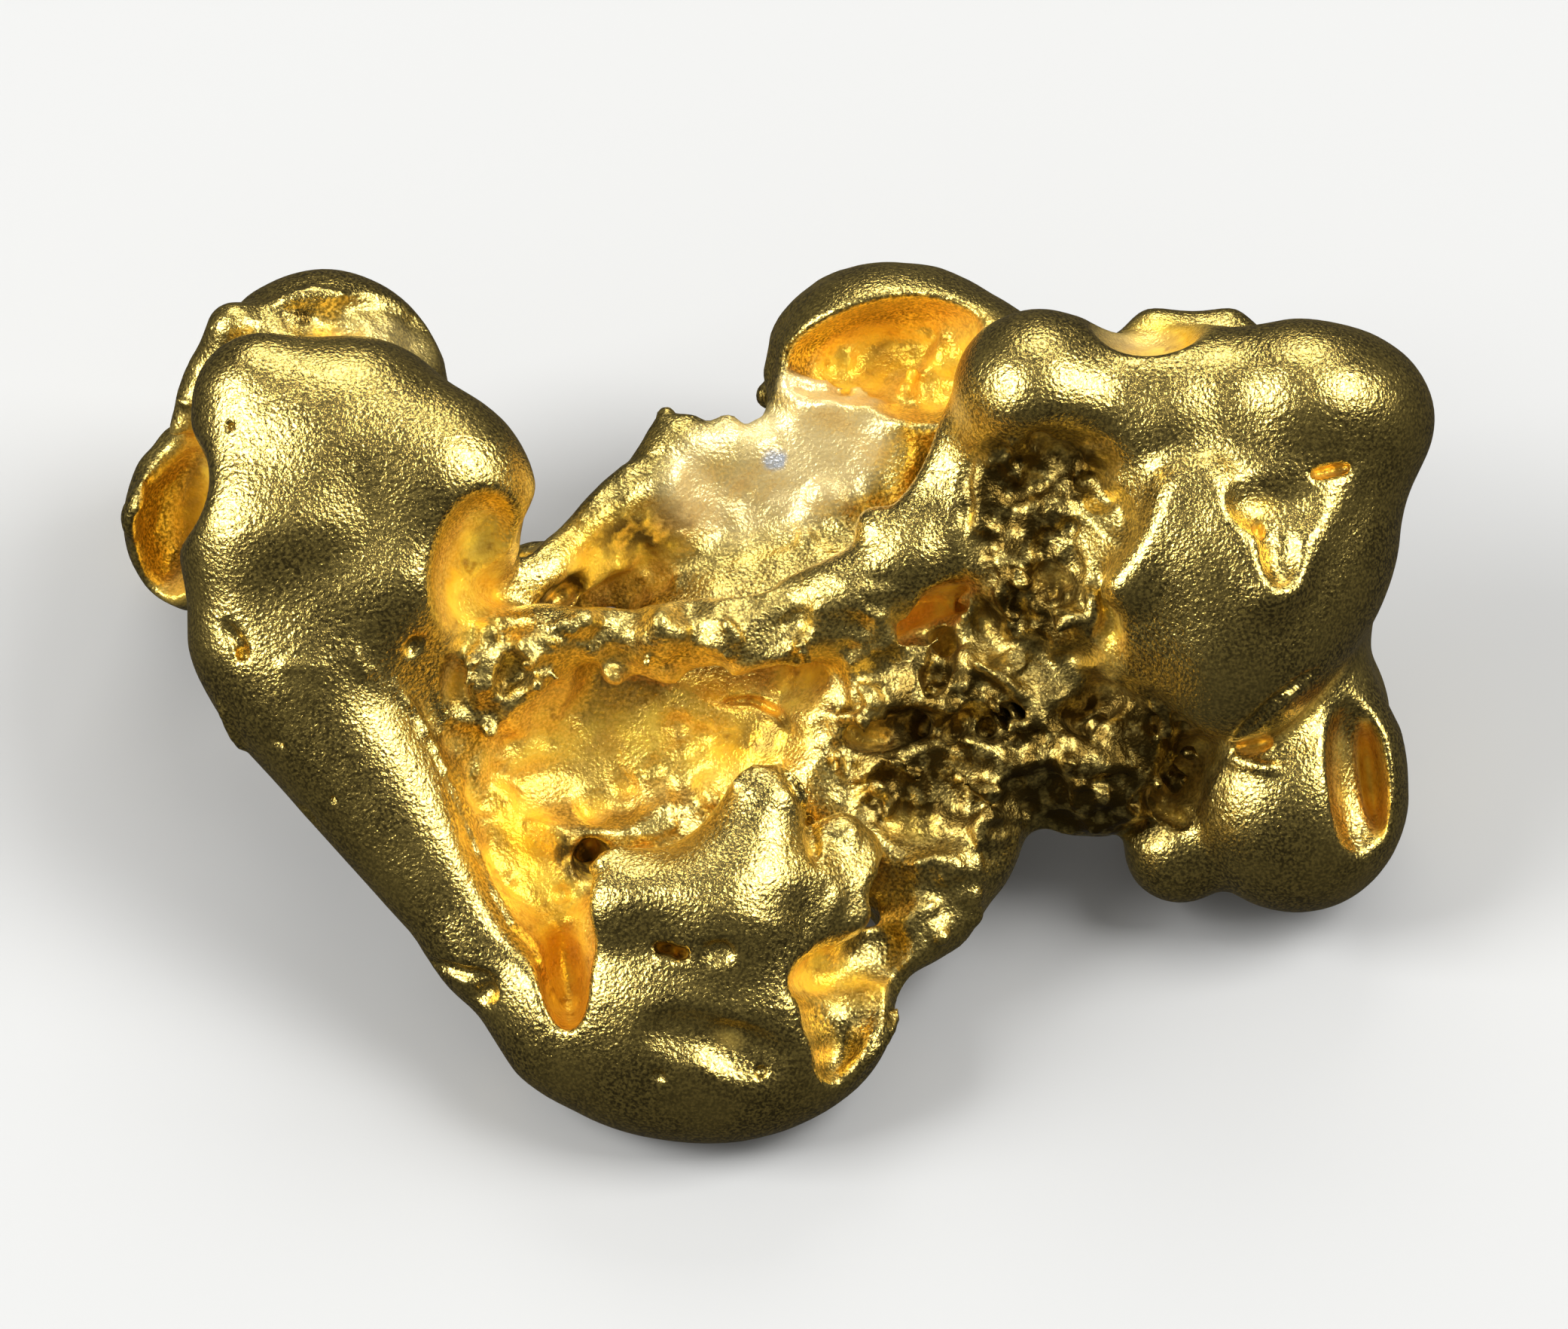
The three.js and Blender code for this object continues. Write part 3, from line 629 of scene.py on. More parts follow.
# %% Random grain
def grain(size, seed):
    """Smooth random numbers all through the field, about one bump for each size in mm."""
    rng = np.random.default_rng(seed)
    numbers = rng.uniform(-2, 2, tuple(((HIGH - LOW) / size).astype(int) + 6)).astype(np.float32)
    for axis in range(3):
        place = np.arange(counts[axis]) * STEP / size
        cell = place.astype(int)
        t = (place - cell).astype(np.float32)
        weights = [(1 - t) ** 3, 3 * t**3 - 6 * t**2 + 4, -3 * t**3 + 3 * t**2 + 3 * t + 1, t**3]
        lined_up = [1, 1, 1]
        lined_up[axis] = -1
        numbers = sum(
            np.take(numbers, cell + shift, axis) * weight.reshape(lined_up) / 6
            for shift, weight in enumerate(weights)
        )
    return numbers


broad = grain(0.95, 1)
print("the broad grain runs from", round(float(broad.min()), 2), "to", round(float(broad.max()), 2))

# %% Sheltered places
SHELTER_FADE = 0.35  # the outer share of a sheltered egg that fades out
shelter = np.zeros(counts, np.float32)


def sheltered(centre, halves, strength, turn=0.0):
    """Marks an egg of the field as rough, fading out towards its edge."""
    centre, reach, distance = egg(centre, halves, turn)
    part, across, up, out = block(centre, reach)
    fade = np.clip(-distance(across, up, out) / (SHELTER_FADE * min(halves)), 0, 1)
    shelter[part] = np.maximum(shelter[part], strength * fade)


sheltered([-1.6, -0.7, 0.0], [1.6, 1.3, 1.2], 0.6)  # middle hollow
sheltered([-2.4, 0.2, 0.4], [0.65, 0.6, 0.7], 0.95)  # left end of the bridge
sheltered([-0.2, 0.45, 0.2], [2.6, 0.7, 0.8], 0.75, 8)  # bridge
sheltered([1.7, -0.3, 0.1], [1.5, 1.3, 1.0], 1.0)  # neck
sheltered([3.0, -0.5, 0.0], [1.2, 1.0, 1.0], 1.0)
sheltered([2.3, 0.75, 0.3], [0.95, 0.6, 1.0], 0.9)
sheltered([0.9, -1.9, 0.4], [0.9, 1.2, 0.9], 0.5, -20)  # web
sheltered([2.35, 2.05, 0.8], [0.8, 0.45, 0.8], 0.7, 12)  # rough hollow of the right lobe
sheltered([2.15, 1.45, 0.6], [0.5, 0.8, 0.9], 0.8, 10)
sheltered([2.7, 1.3, 0.8], [0.45, 0.8, 0.7], 0.5, -35)
sheltered([-3.5, 3.4, -0.9], [0.8, 0.45, 0.8], 0.6)  # top of the flap
sheltered([0.0, 1.9, -0.9], [2.2, 1.2, 1.0], 0.3, 20)  # bowl
sheltered([1.2, 2.9, -1.0], [1.2, 0.9, 1.0], 0.25)  # back lobe
sheltered([-5.1, 2.2, -1.8], [0.9, 1.6, 1.4], 0.5, -15)  # flap
sheltered([0.0, 0.0, -2.4], [6.2, 4.4, 1.9], 0.45)  # the whole back
print("the shelter covers", round(100 * float((shelter > 0).mean())), "% of the field")

# %% Shake the skin
field += 0.022 * broad  # faint dents everywhere
field += 0.008 * grain(0.42, 2) + 0.2 * shelter * np.abs(grain(0.5, 9))  # knobs in the shelter
field += 0.003 * grain(0.21, 3) + 0.15 * shelter * np.abs(grain(0.26, 10))  # smaller knobs
field += (0.002 + 0.05 * shelter) * grain(0.12, 4)  # the finest crumple
print("shaken:", gold_so_far())

# %% [markdown]
# ## Sponge
# Between the bridge and the right foot the gold is as open as a sponge. Carving every hole by hand
# would take thousands of lines. The same random numbers can do it: wherever they are high, and close
# enough under the skin, the gold is taken away, and wherever a second set is high, crumbs are left on
# top. The map of shelter decides how many holes there are, so the worn lobes keep none.

# %% Pores and crumbs
PORE_SLOPE = 0.13  # how many mm the random numbers take to rise by one
PORE_DEPTH, CRUMB_HEIGHT = 0.3, 0.1
PORE_BLEND = 0.06  # how far the edges of pores and crumbs are rounded, in mm
WORN_RARITY = 1.6  # how much rarer they are on skin without shelter


def open_up(size, seed, rarity):
    """Carves random pores a little way into the sheltered skin."""
    rare = rarity + WORN_RARITY * (1 - shelter)
    pores = np.maximum((rare - grain(size, seed)) * PORE_SLOPE, -field - PORE_DEPTH)
    return -melt(-field, pores, PORE_BLEND)


def crumble(size, seed, rarity):
    """Leaves random crumbs on the sheltered skin."""
    rare = rarity + WORN_RARITY * (1 - shelter)
    crumbs = np.maximum((rare - grain(size, seed)) * PORE_SLOPE, field - CRUMB_HEIGHT)
    return melt(field, crumbs, PORE_BLEND)


field = crumble(0.22, 5, 0.6)
field = open_up(0.3, 6, 0.85)
field = open_up(0.14, 7, 0.85)
field = crumble(0.13, 8, 0.6)
print("opened:", gold_so_far())

# %% [markdown]
# ## Standing on three feet
# The nugget rests on the bottom lobe, the flap and the right foot. Where it stands it is worn a
# little flat, so everything below the ground is taken away. Without this the finished model would
# sink into the floor by the height of its lowest bumps.

# %% Flat feet
ground = RESTING_LEVEL - (
    math.sin(FACE_TIP) * up_at[None, :, None] + math.cos(FACE_TIP) * out_at[None, None, :]
)
field = np.maximum(field, ground)
print("standing:", gold_so_far())

# %% [markdown]
# ## Stretching a skin
# To turn the field into a mesh, each small cell of the block that has both gold and air at its
# corners gets one point, in the middle of the places where its edges cross the skin. Four cells
# around a crossed edge make one face. Then each point is pushed along the slope of the field until
# it lies on the skin. Blender's remesh modifiers could do it too, but they need a mesh to start from.

# %% Reading the field
CORNERS = np.array([(a, b, c) for a in (0, 1) for b in (0, 1) for c in (0, 1)])


def sample(numbers, places):
    """Reads a block of numbers at places between its grid points."""
    grid = np.clip((places - LOW) / STEP, 0, counts - 1.001)
    cell = grid.astype(int)
    t = grid - cell
    total = np.zeros(len(places))
    for corner in CORNERS:
        weight = np.prod(np.where(corner, t, 1 - t), axis=1)
        total += weight * numbers[tuple((cell + corner).T)]
    return total


def slope(places):
    """Which way the field rises, and how fast."""
    parts = []
    for axis in range(3):
        shift = np.zeros(3)
        shift[axis] = STEP / 2
        parts.append((sample(field, places + shift) - sample(field, places - shift)) / STEP)
    return np.stack(parts, axis=1)


peak = np.array([[-0.3, -1.5, skin_out(-0.3, -1.5)]])
print("just under the skin of the peak the field says", round(float(sample(field, peak)[0]), 3), "mm")


# %% One point in each crossed cell
def crossed_cells():
    """The cells that the skin passes through, and one point in each."""
    inside = field < 0
    gold_corners = sum(
        inside[a:a + counts[0] - 1, b:b + counts[1] - 1, c:c + counts[2] - 1].astype(np.uint8)
        for a, b, c in CORNERS
    )
    cells = np.argwhere((gold_corners > 0) & (gold_corners < 8))
    total = np.zeros((len(cells), 3))
    hits = np.zeros(len(cells))
    for start in CORNERS:
        for axis in range(3):
            if start[axis]:
                continue
            end = start.copy()
            end[axis] = 1
            a, b = field[tuple((cells + start).T)], field[tuple((cells + end).T)]
            crossed = (a < 0) != (b < 0)
            share = np.where(crossed, a / np.where(crossed, a - b, 1), 0)
            spot = np.repeat(start[None].astype(float), len(cells), axis=0)
            spot[:, axis] = share
            total += spot * crossed[:, None]
            hits += crossed
    return cells, LOW + STEP * (cells + total / hits[:, None])


cells, points = crossed_cells()
print("the skin passes through", len(cells), "cells")


# %% One face around each crossed edge
def faces_between(cells):
    """Four-sided faces around every crossed edge of the grid, turned to face the air."""
    number = np.full(counts - 1, -1, np.int64)
    number[tuple(cells.T)] = np.arange(len(cells))
    inside = field < 0
    faces = []
    for axis in range(3):
        one, two = (axis + 1) % 3, (axis + 2) % 3
        near, far = [slice(None)] * 3, [slice(None)] * 3
        near[axis], far[axis] = slice(None, -1), slice(1, None)
        for filled_first in (True, False):
            first, second = inside[tuple(near)], inside[tuple(far)]
            edge = np.argwhere(first & ~second if filled_first else second & ~first)
            step_one, step_two = np.zeros(3, int), np.zeros(3, int)
            step_one[one], step_two[two] = 1, 1
            around = [edge - step_one - step_two, edge - step_two, edge, edge - step_one]
            if not filled_first:
                around.reverse()
            faces.append(np.stack([number[tuple(cell.T)] for cell in around], axis=1))
    return np.concatenate(faces)


faces = faces_between(cells)
print("around the crossed edges lie", len(faces), "faces")

# %% Push the points onto the skin
PUSHES = 3
GENTLEST_RISE = 0.2  # keeps a push short where the field is nearly level
for _ in range(PUSHES):
    rise = slope(points)
    push = sample(field, points) / np.maximum((rise**2).sum(axis=1), GENTLEST_RISE)
    points -= np.clip(push, -STEP, STEP)[:, None] * rise
off = float(np.abs(sample(field, points)).mean()) * 1000
print("the points are off the skin by", round(off, 3), "thousandths of a mm on average")


# %% Drop the loose crumbs
def biggest_piece(point_count, faces):
    """Keeps the faces of the largest joined piece, so that no crumb floats beside it."""
    label = np.arange(point_count)
    while True:
        lowest = label[faces].min(axis=1)
        fresh = label.copy()
        for side in range(4):
            np.minimum.at(fresh, faces[:, side], lowest)
        fresh = fresh[fresh]
        if (fresh == label).all():
            break
        label = fresh
    names, sizes = np.unique(label[faces[:, 0]], return_counts=True)
    print("pieces before the crumbs are dropped:", len(names))
    return faces[label[faces[:, 0]] == names[sizes.argmax()]]


faces = biggest_piece(len(points), faces)
used, faces = np.unique(faces, return_inverse=True)
faces = faces.reshape(-1, 4)
points = points[used]
print("skin:", len(points), "points and", len(faces), "faces")

# %% [markdown]
# ## A lighter mesh
# The skin has the same small faces everywhere, on smooth lobes and in sponge alike. The decimate
# modifier merges faces where the surface is nearly flat and keeps them where it bends. That brings
# the mesh under the parts library's limit without losing a bead.

# %% Mesh and decimate
TRIANGLES = 190000

raw = bpy.data.meshes.new("raw_skin")
raw.from_pydata(points.tolist(), [], faces.tolist())
raw.update()
holder = bpy.data.objects.new("raw_skin", raw)
bpy.context.scene.collection.objects.link(holder)
lighter = holder.modifiers.new("lighter", "DECIMATE")
lighter.ratio = min(1, TRIANGLES / (2 * len(faces)))
settled = holder.evaluated_get(bpy.context.evaluated_depsgraph_get())
skin = bpy.data.meshes.new_from_object(settled)
skin.name = "nugget_gold"
bpy.data.objects.remove(holder)
bpy.data.meshes.remove(raw)
print("light mesh:", sum(len(face.vertices) - 2 for face in skin.polygons), "triangles")

# %% [markdown]
# ## Where the light gets trapped
# Deep in a hollow the light bounces from gold to gold before it gets out, and each bounce makes it
# more orange. The renderer follows only a few bounces, so the missing orange is painted into the
# colour: the amber is a painted glow of bounced light. The share of gold in the space around a point
# says how enclosed it is: half on a flat skin, less on a lobe, more in a hollow. It is worked out by
# blurring the block of gold and air. The wide hollows are too open to be found like that, so their
# ovals are named. Both are kept as one attribute of the mesh. The map of shelter is kept as another,
# because sheltered skin is dull.

# %% Blur, oval and attribute
OVAL_SLOPE = 1.6  # how steeply an oval rises from its edge, for each half width


def blurred(numbers, radius):
    """Three box blurs in a row, which come close to a round blur."""
    width = max(1, int(round(radius / STEP / 2)))
    for _ in range(3):
        for axis in range(3):
            padding = [(0, 0)] * 3
            padding[axis] = (width + 1, width)
            total = np.cumsum(np.pad(numbers, padding, mode="edge"), axis=axis, dtype=np.float64)
            upper = np.take(total, range(2 * width + 1, total.shape[axis]), axis)
            lower = np.take(total, range(0, total.shape[axis] - 2 * width - 1), axis)
            numbers = ((upper - lower) / (2 * width + 1)).astype(np.float32)
    return numbers


def keep(name, values):
    """Stores one number for each point of the mesh."""
    attribute = skin.attributes.new(name, "FLOAT", "POINT")
    attribute.data.foreach_set("value", np.asarray(values, np.float32))
    print(name, "runs from", round(float(values.min()), 2), "to", round(float(values.max()), 2))


def oval(centre, halves, turn=0.0):
    """One in the inside of an egg-shaped zone, falling to zero at its edge."""
    distance = egg(centre, halves, turn)[2](*points.T)
    return np.clip(-OVAL_SLOPE * distance / min(halves), 0, 1)


flat = np.empty(3 * len(skin.vertices))
skin.vertices.foreach_get("co", flat)
points = flat.reshape(-1, 3)
print("points on the light mesh:", len(points))

# %% Trapped-light and dull attributes
SPACE_AROUND = 0.5  # how far the light is taken to bounce, in mm
AMBER_STARTS, AMBER_GROWS = 0.58, 0.09  # the share of gold where amber starts, and until it is full
enclosed = sample(blurred((field < 0).astype(np.float32), SPACE_AROUND), points)
trapped = np.maximum.reduce([
    np.clip((enclosed - AMBER_STARTS) / AMBER_GROWS, 0, 1),
    oval((-1.5, -0.35, -0.1), (1.35, 0.75, 0.75), 14),  # middle hollow
    oval((-2.15, -1.5, 0.1), (0.5, 1.35, 0.85), 20),  # slot beside the arm
    oval((-0.35, 0.1, -0.1), (0.9, 0.45, 0.6)),  # arch
    oval((-2.75, 1.15, 0.1), (0.5, 0.85, 0.9), -15),  # under the nose
    oval((-1.5, 1.35, -1.0), (1.0, 0.5, 0.7), 20),  # left end of the bowl
    oval((1.2, 3.1, -1.2), (1.1, 0.6, 0.9), 10),  # back lobe
    oval((-5.4, 1.7, -1.5), (0.5, 1.2, 0.9), -14),  # cup of the flap
    oval((0.75, -2.5, 0.8), (0.55, 0.35, 0.6)),  # top of the bottom lobe's pocket
    oval((5.45, -0.7, -0.1), (0.16, 0.6, 0.6), 8),  # pocket of the foot
    oval((-0.45, -0.4, -0.1), (0.9, 0.6, 0.7), 10),  # right end of the middle hollow
    oval((3.5, 3.25, 0.2), (0.6, 0.5, 0.7)),  # cup in the top of the right lobe
    0.8 * oval((3.05, 0.65, 0.6), (0.2, 0.5, 0.5)),  # groove between the neck and the right lobe
])
trapped *= 1 - np.maximum(
    oval((2.8, 1.8, 0.9), (1.4, 1.2, 1.2), 35),  # the rough hollow is too dirty to glow
    0.8 * oval((2.6, -0.4, 0.0), (2.2, 1.5, 1.4)),  # and so is the neck
)
keep("trapped", trapped)
keep("dull", sample(shelter, points))

# %% [markdown]
# ## Stains, painted shade and painted light
# A few places are not plain gold: a whitish film in the bowl with a bluish spot in it, and brown dirt
# in the sponge and in the rough hollow. The same brown is painted shade in the sponge, in the holes
# and in some pits, and in the deep ends of the bowl and the middle hollow. The pale film colour is
# painted light in the cup on top of the right lobe. They could be painted on, but a painting is lost
# when the mesh changes. So each is an oval of the face, stored as one more attribute.

# %% Film, dirt and painted shade attributes
film_and_painted_light = np.maximum.reduce([
    oval((0.0, 2.15, -1.1), (1.3, 0.75, 0.9), 20),  # bowl
    0.8 * oval((0.6, 2.9, -0.9), (0.9, 0.35, 0.8)),  # ledge of the back lobe
    0.25 * oval((-3.4, 3.3, -0.9), (0.9, 0.5, 0.8)),  # top of the flap
    # The pale colour in the cup is painted light, where light falls in from above.
    0.4 * oval((3.3, 3.35, 0.3), (0.5, 0.35, 0.6)),  # cup in the top of the right lobe
])
keep("film_and_painted_light", film_and_painted_light)
# Dark brown: painted shade in the holes, the two pits and the deep ends of the bowl and the middle hollow,
# dirt and painted shade in the sponge, and dirt in the rough hollow and the dip of the flap.
dirt_and_shade = np.maximum.reduce([
    oval((-1.78, -1.4, 0.0), (0.3, 0.3, 0.8)),  # hole behind the bottom lobe's left shoulder
    oval((3.0, -0.6, 0.0), (1.2, 1.0, 1.0)),  # neck
    0.8 * oval((1.7, -0.4, 0.0), (1.2, 1.2, 1.0)),
    0.7 * oval((2.4, 0.8, 0.4), (0.8, 0.5, 0.8)),
    0.7 * oval((2.35, 2.0, 0.8), (0.85, 0.5, 0.8), 15),  # rough hollow of the right lobe
    0.7 * oval((2.2, 1.5, 0.7), (0.6, 0.8, 0.8), 10),
    oval((-1.93, 0.98, -0.7), (0.3, 0.2, 0.6), 40),  # hole between the bridge and the back wall
    oval((-0.92, -2.24, 1.1), (0.25, 0.14, 0.4)),  # the two pits of the bottom lobe
    0.8 * oval((-4.35, 3.52, -0.8), (0.3, 0.2, 0.5)),  # dip in the top of the flap
    0.6 * oval((-1.1, 1.5, -0.8), (0.7, 0.5, 0.6)),  # left end of the bowl
    0.5 * oval((-0.08, -0.32, -0.1), (0.5, 0.36, 0.6), 20),  # right end of the middle hollow
])
keep("dirt_and_shade", dirt_and_shade)
keep("blue", oval((0.0, 2.22, -1.1), (0.15, 0.13, 0.8)))

# %% [markdown]
# ## Into the frame
# The mesh is tipped into its resting pose and turned into metres. It could be moved into place by
# hand, but then it would be off again after each change of a lump. Instead its box is centred on the
# box of the frame's nugget, so both stand on the same spot.

# %% Tip and place
standing = tipped(points) * MM
box_low, box_high = (np.array(corner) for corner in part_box("nugget"))
shift = (box_low + box_high - standing.min(axis=0) - standing.max(axis=0)) / 2
shift[2] = box_low[2] - standing[:, 2].min()
standing += shift
skin.vertices.foreach_set("co", standing.ravel())
skin.polygons.foreach_set("use_smooth", [True] * len(skin.polygons))
skin.update()
nugget = bpy.data.objects.new("nugget_gold", skin)
bpy.context.scene.collection.objects.link(nugget)
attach(nugget, "root")
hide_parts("nugget")
print("over the frame's box in mm:", np.round((box_low - standing.min(axis=0)) / MM, 2),
      np.round((standing.max(axis=0) - box_high) / MM, 2))

# %% [markdown]
# ## The gold
# Gold is a metal, so its colour is the colour of its reflections. Natural gold holds some silver and
# is paler than jewellery where it is worn. Fine grime sits in the skin of the worn lobes and gives
# them their olive tone. In the hollows the colour slides to amber, a painted glow of light bounced
# from gold to gold, with specks of rust in it. A pale film lies in the bowl, and the same pale colour
# is painted light in the cup on top of the right lobe. Dark brown is dirt in the rough hollow, dirt
# and painted shade in the sponge, and painted shade in holes, pits and deep corners. Painted colours
# would blur close up, so noise nodes make the fine patterns, and the stored attributes say where each
# of them may show.

# %% The colours
WORN = (0.92, 0.68, 0.18, 1)
# The two ambers are painted light: the orange glow of light bounced from gold to gold in the hollows.
PAINTED_BOUNCE_AMBER = (1.0, 0.65, 0.06, 1)
PAINTED_DEEP_BOUNCE_AMBER = (0.96, 0.5, 0.02, 1)
RUST = (0.48, 0.22, 0.01, 1)
GRIME = (0.19, 0.14, 0.045, 1)
# The dark brown is dirt in the sponge, and painted shade there and in holes, pits and deep corners.
DIRT_AND_SHADE = (0.12, 0.075, 0.015, 1)
# The pale film colour is also painted light in the cup on top of the right lobe.
FILM_AND_PAINTED_LIGHT = (0.76, 0.6, 0.28, 1)
BLUE = (0.42, 0.44, 0.46, 1)
print("worn gold has", round(WORN[2] / WORN[0], 2), "times as much blue as red, amber", PAINTED_BOUNCE_AMBER[2])

# %% Node helpers
material = bpy.data.materials.new("natural_gold")
material.use_nodes = True
nodes, links = material.node_tree.nodes, material.node_tree.links
shader = nodes["Principled BSDF"]


def attribute(name):
    """A number that was stored for each point of the mesh."""
    node = nodes.new("ShaderNodeAttribute")
    node.attribute_name = name
    return node.outputs["Fac"]


def noise(size, detail=2.0):
    """Noise with bumps about as wide as the size in mm."""
    node = nodes.new("ShaderNodeTexNoise")
    node.inputs["Scale"].default_value = 1 / (size * MM)
    node.inputs["Detail"].default_value = detail
    links.new(place.outputs["Object"], node.inputs["Vector"])
    return node.outputs["Fac"]


def stretched(value, low, high, to_low=0.0, to_high=1.0):
    """Maps the range from low to high onto the one from to_low to to_high, and cuts off the rest."""
    node = nodes.new("ShaderNodeMapRange")
    links.new(value, node.inputs["Value"])
    for name, number in zip(("From Min", "From Max", "To Min", "To Max"), (low, high, to_low, to_high)):
        node.inputs[name].default_value = number
    return node.outputs["Result"]


def times(a, b):
    """One value times another."""
    node = nodes.new("ShaderNodeMath")
    node.operation = "MULTIPLY"
    links.new(a, node.inputs[0])
    links.new(b, node.inputs[1])
    return node.outputs["Value"]


def mixed(amount, first, second):
    """A mix of two colours, each either a socket or four numbers."""
    node = nodes.new("ShaderNodeMix")
    node.data_type = "RGBA"
    links.new(amount, node.inputs[0])
    for socket, colour in ((node.inputs[6], first), (node.inputs[7], second)):
        if isinstance(colour, tuple):
            socket.default_value = colour
        else:
            links.new(colour, socket)
    return node.outputs[2]


place = nodes.new("ShaderNodeTexCoord")
print("the shader is called", shader.name)

# %% Worn gold and painted bounce amber
blotches = noise(0.6, 3)
sheen = stretched(noise(0.2, 3), 0.35, 0.65, 0.7, 1.0)
# The trapped share mixes in amber, a painted glow of bounced light, with specks of rust in it.
inside = times(attribute("trapped"), sheen)
grimy = times(stretched(noise(0.03, 4), 0.38, 0.6), stretched(blotches, 0.3, 0.6, 0.5, 0.95))
colour = mixed(grimy, WORN, GRIME)
painted_bounce_amber = mixed(stretched(noise(0.4, 4), 0.4, 0.6), PAINTED_DEEP_BOUNCE_AMBER, PAINTED_BOUNCE_AMBER)
painted_bounce_amber = mixed(stretched(noise(0.15, 4), 0.58, 0.74), painted_bounce_amber, RUST)
colour = mixed(inside, colour, painted_bounce_amber)
print("worn gold and amber take", len(nodes), "nodes")

# %% [markdown]
# ## Film, dirt, painted shade and shine
# Clean gold is a mirror. Light that is trapped in a hollow seems to come from everywhere, and a film
# scatters it, so in both places the shader is made half metal and half paint. More light bounces
# would come closer to the truth, but they cost far more time. The film is broken up by the same
# broad blotches as the grime, and the dirt and painted shade by finer noise, so that neither has a
# clean edge.

# %% Film, dirt and painted shade
MIRROR, HALF_MIRROR = 0.98, 0.4  # how much of a metal clean gold is, and amber or film
# The pale film is a real film in the bowl, and painted light in the cup on top of the right lobe.
film_and_painted_light = times(stretched(attribute("film_and_painted_light"), 0.05, 0.6, 0, 0.85), stretched(blotches, 0.25, 0.5, 0.5, 1.0))
pale = nodes.new("ShaderNodeMath")
pale.operation = "MAXIMUM"
links.new(inside, pale.inputs[0])
links.new(film_and_painted_light, pale.inputs[1])
links.new(stretched(pale.outputs["Value"], 0, 1, MIRROR, HALF_MIRROR), shader.inputs["Metallic"])
shader.inputs["Specular IOR Level"].default_value = 0.15
colour = mixed(film_and_painted_light, colour, FILM_AND_PAINTED_LIGHT)
colour = mixed(times(stretched(attribute("blue"), 0.1, 0.6), stretched(blotches, 0.3, 0.5)), colour, BLUE)
# Dark brown: dirt, and painted shade in holes, pits and deep corners.
dirt_and_shade_amount = times(stretched(attribute("dirt_and_shade"), 0.05, 0.6), stretched(noise(0.15, 4), 0.36, 0.52))
colour = mixed(dirt_and_shade_amount, colour, DIRT_AND_SHADE)
links.new(colour, shader.inputs["Base Color"])
print("with film and dirt:", len(nodes), "nodes")

# %% [markdown]
# ## Matt skin
# The skin is matt from countless tiny dents. They are too fine for the mesh, and one high roughness
# would make the gold look like plastic. So the roughness stays low, and three layers of bumps break
# up the shine: soft hammering, small dimples side by side, and a grain that is finer still.
# Sheltered skin never got polished, so it is the dullest.

# %% Roughness and bumps
POLISHED, DULL = 0.27, 0.4
links.new(stretched(times(attribute("dull"), sheen), 0, 1, POLISHED, DULL), shader.inputs["Roughness"])


def side_by_side(size):
    """Small dimples side by side, about as wide as the size in mm."""
    node = nodes.new("ShaderNodeTexVoronoi")
    node.inputs["Scale"].default_value = 1 / (size * MM)
    links.new(place.outputs["Object"], node.inputs["Vector"])
    return node.outputs["Distance"]


def bump(height, deep, before=None):
    """Bumps as deep as the given mm, on top of the ones before them."""
    node = nodes.new("ShaderNodeBump")
    node.inputs["Strength"].default_value = 1.0
    node.inputs["Distance"].default_value = deep * MM
    links.new(height, node.inputs["Height"])
    if before:
        links.new(before, node.inputs["Normal"])
    return node.outputs["Normal"]


hammered = bump(noise(0.18, 3), 0.0055)
dimpled = bump(side_by_side(0.05), 0.0045, hammered)
links.new(bump(noise(0.026, 2), 0.008, dimpled), shader.inputs["Normal"])
skin.materials.clear()
skin.materials.append(material)
print("gold has", len(nodes), "nodes")

# %% [markdown]
# ## Floor and light
# The nugget lies on a plain pale sheet. A metal shows what is around it, so the lights matter more
# than the colour: broad soft ones stand to the left, behind and to the right, and nothing bright is
# in front. That leaves the middle of each lobe dark and its flanks bright. The room itself is pale,
# but the gold mirrors only a trace of it, or its dark parts would turn to haze: mostly it brightens
# the sheet and the amber hollows.

# %% Floor
FLOOR_HALF = 0.5
floor_mesh = bpy.data.meshes.new("sheet")
floor_mesh.from_pydata(
    [(x * FLOOR_HALF, y * FLOOR_HALF, 0) for x, y in ((-1, -1), (1, -1), (1, 1), (-1, 1))],
    [], [(0, 1, 2, 3)],
)
sheet = bpy.data.objects.new("sheet", floor_mesh)
bpy.context.scene.collection.objects.link(sheet)
paper = bpy.data.materials.new("paper")
paper.use_nodes = True
paper_shader = paper.node_tree.nodes["Principled BSDF"]
paper_shader.inputs["Base Color"].default_value = (0.38, 0.38, 0.375, 1)
paper_shader.inputs["Specular IOR Level"].default_value = 0
paper_shader.inputs["Roughness"].default_value = 0.9
floor_mesh.materials.append(paper)
sheet.visible_glossy = False
print("the sheet is", 2 * FLOOR_HALF, "m wide")

# %% Lights
CENTRE = np.array([0, 0, 2 * MM])  # what the lights point at


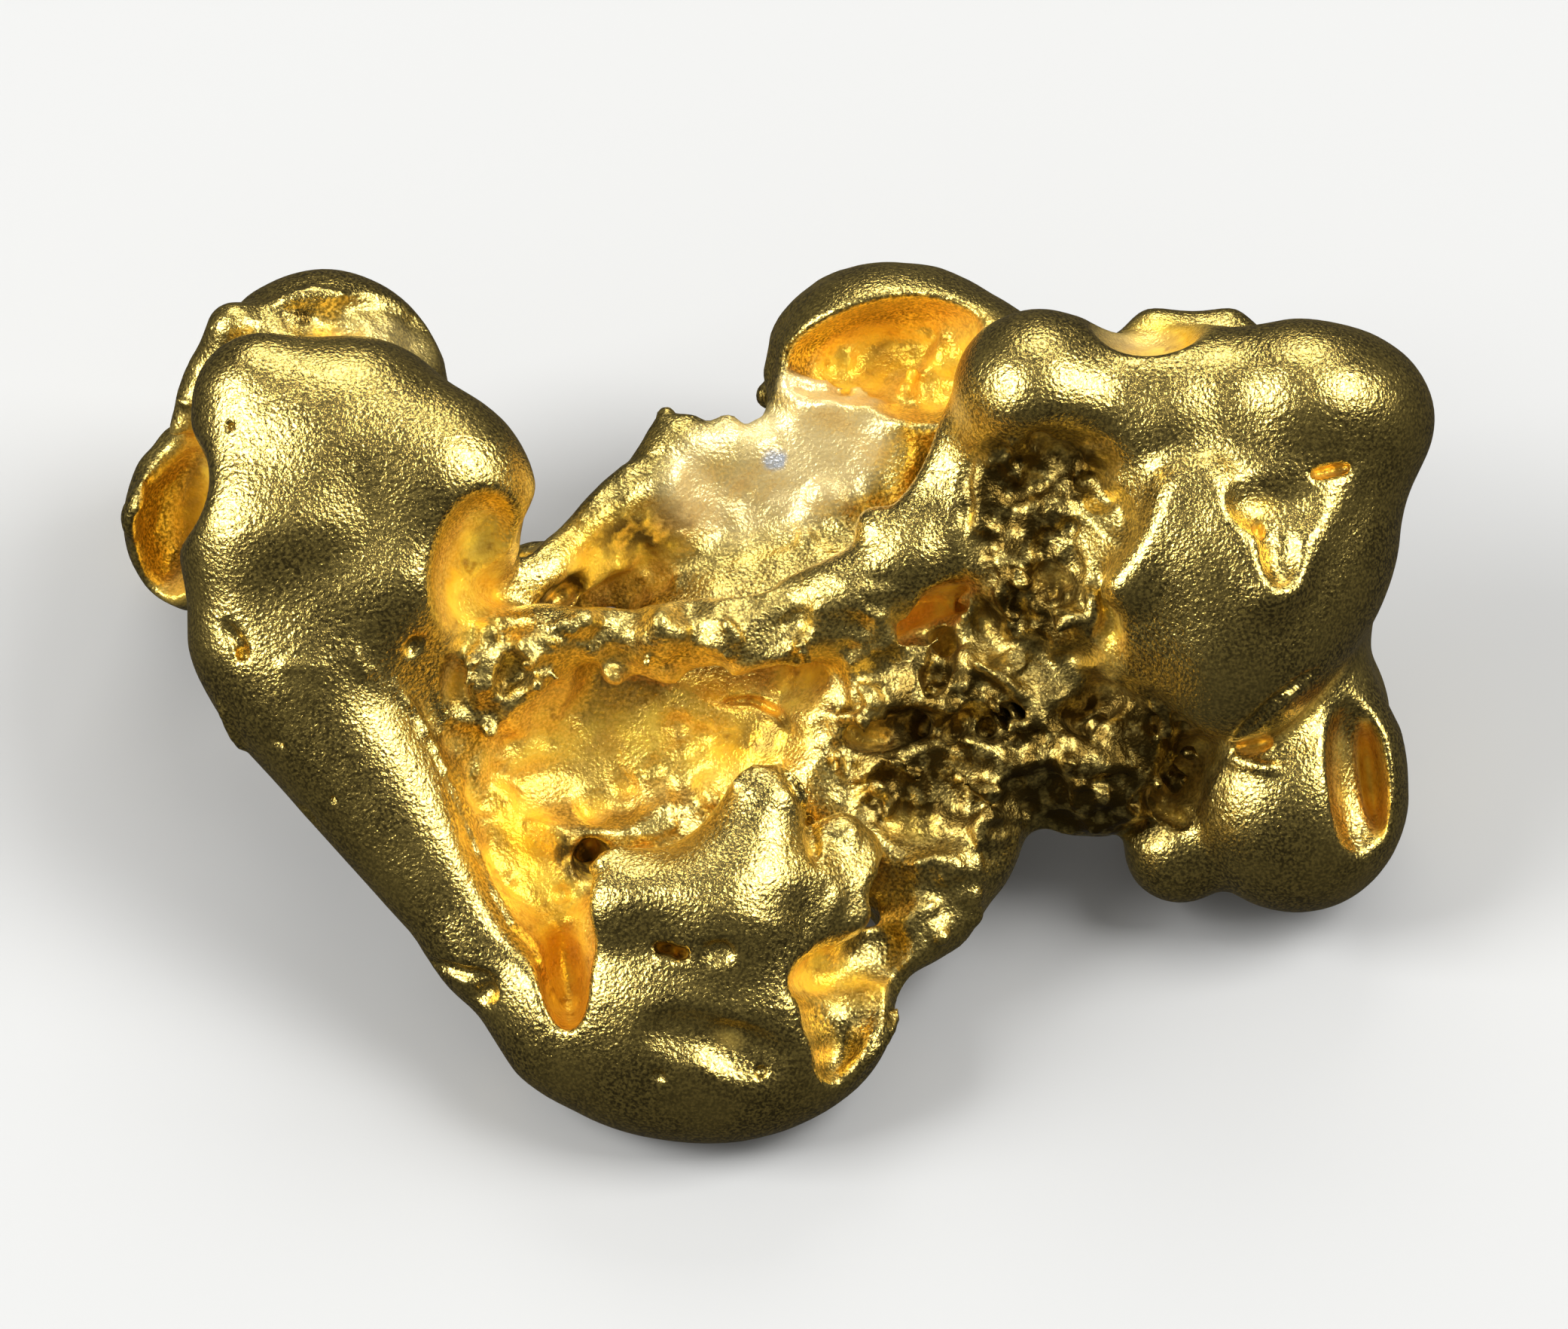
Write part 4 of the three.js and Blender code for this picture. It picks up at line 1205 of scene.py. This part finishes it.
def soft_light(name, turn, height, far, wide, tall, watts):
    """A soft rectangle of light, by its turn around the object, its height and its distance."""
    lamp = bpy.data.lights.new(name, "AREA")
    lamp.shape = "RECTANGLE"
    lamp.size, lamp.size_y = wide, tall
    lamp.energy = watts
    holder = bpy.data.objects.new(name, lamp)
    bpy.context.scene.collection.objects.link(holder)
    turn, height = math.radians(turn), math.radians(height)
    holder.location = CENTRE + far * np.array([
        math.sin(turn) * math.cos(height), -math.cos(turn) * math.cos(height), math.sin(height),
    ])
    holder.rotation_euler = (math.pi / 2 - height, 0, turn)
    print(name, "at", np.round(holder.location, 2))


soft_light("left", -83, 40, 0.3, 0.14, 0.17, 1.1)
soft_light("right", 93, 52, 0.3, 0.14, 0.17, 0.95)
soft_light("behind", 180, 40, 0.3, 0.16, 0.1, 0.35)

# %% The pale room
ROOM_GLOW, MIRRORED_GLOW = 0.68, 0.045  # how bright the room is, and how bright in the gold's mirror
world = bpy.data.worlds.new("room")
world.use_nodes = True
background = world.node_tree.nodes["Background"]
background.inputs["Color"].default_value = (1, 1, 1, 1)
ray = world.node_tree.nodes.new("ShaderNodeLightPath")
glow = world.node_tree.nodes.new("ShaderNodeMapRange")
glow.inputs["To Min"].default_value = ROOM_GLOW
glow.inputs["To Max"].default_value = MIRRORED_GLOW
world.node_tree.links.new(ray.outputs["Is Glossy Ray"], glow.inputs["Value"])
world.node_tree.links.new(glow.outputs["Result"], background.inputs["Strength"])
bpy.context.scene.world = world
bpy.context.scene.view_settings.view_transform = "Standard"
print("the room is", round(ROOM_GLOW / MIRRORED_GLOW), "times brighter than its mirror image")

# %% [markdown]
# ## Camera
# The camera looks straight at the face, down at fifty-five degrees. It has a long lens and stands
# well back, so that near and far parts of the small object are drawn at nearly the same scale.

# %% Camera
VIEW_WIDTH = 14.26 * MM  # how much of the face fits across the picture
AIM = tipped(np.array([0.089, 0.342, 0.0])) * MM + shift
CAMERA_FAR = 0.15
lens = bpy.data.cameras.new("camera")
lens.lens = lens.sensor_width * CAMERA_FAR / VIEW_WIDTH
lens.clip_start = MM
camera = bpy.data.objects.new("camera", lens)
bpy.context.scene.collection.objects.link(camera)
camera.location = AIM + CAMERA_FAR * TIP[:, 2]
camera.rotation_euler = (FACE_TIP, 0, 0)
bpy.context.scene.camera = camera
print("lens:", round(lens.lens), "mm")
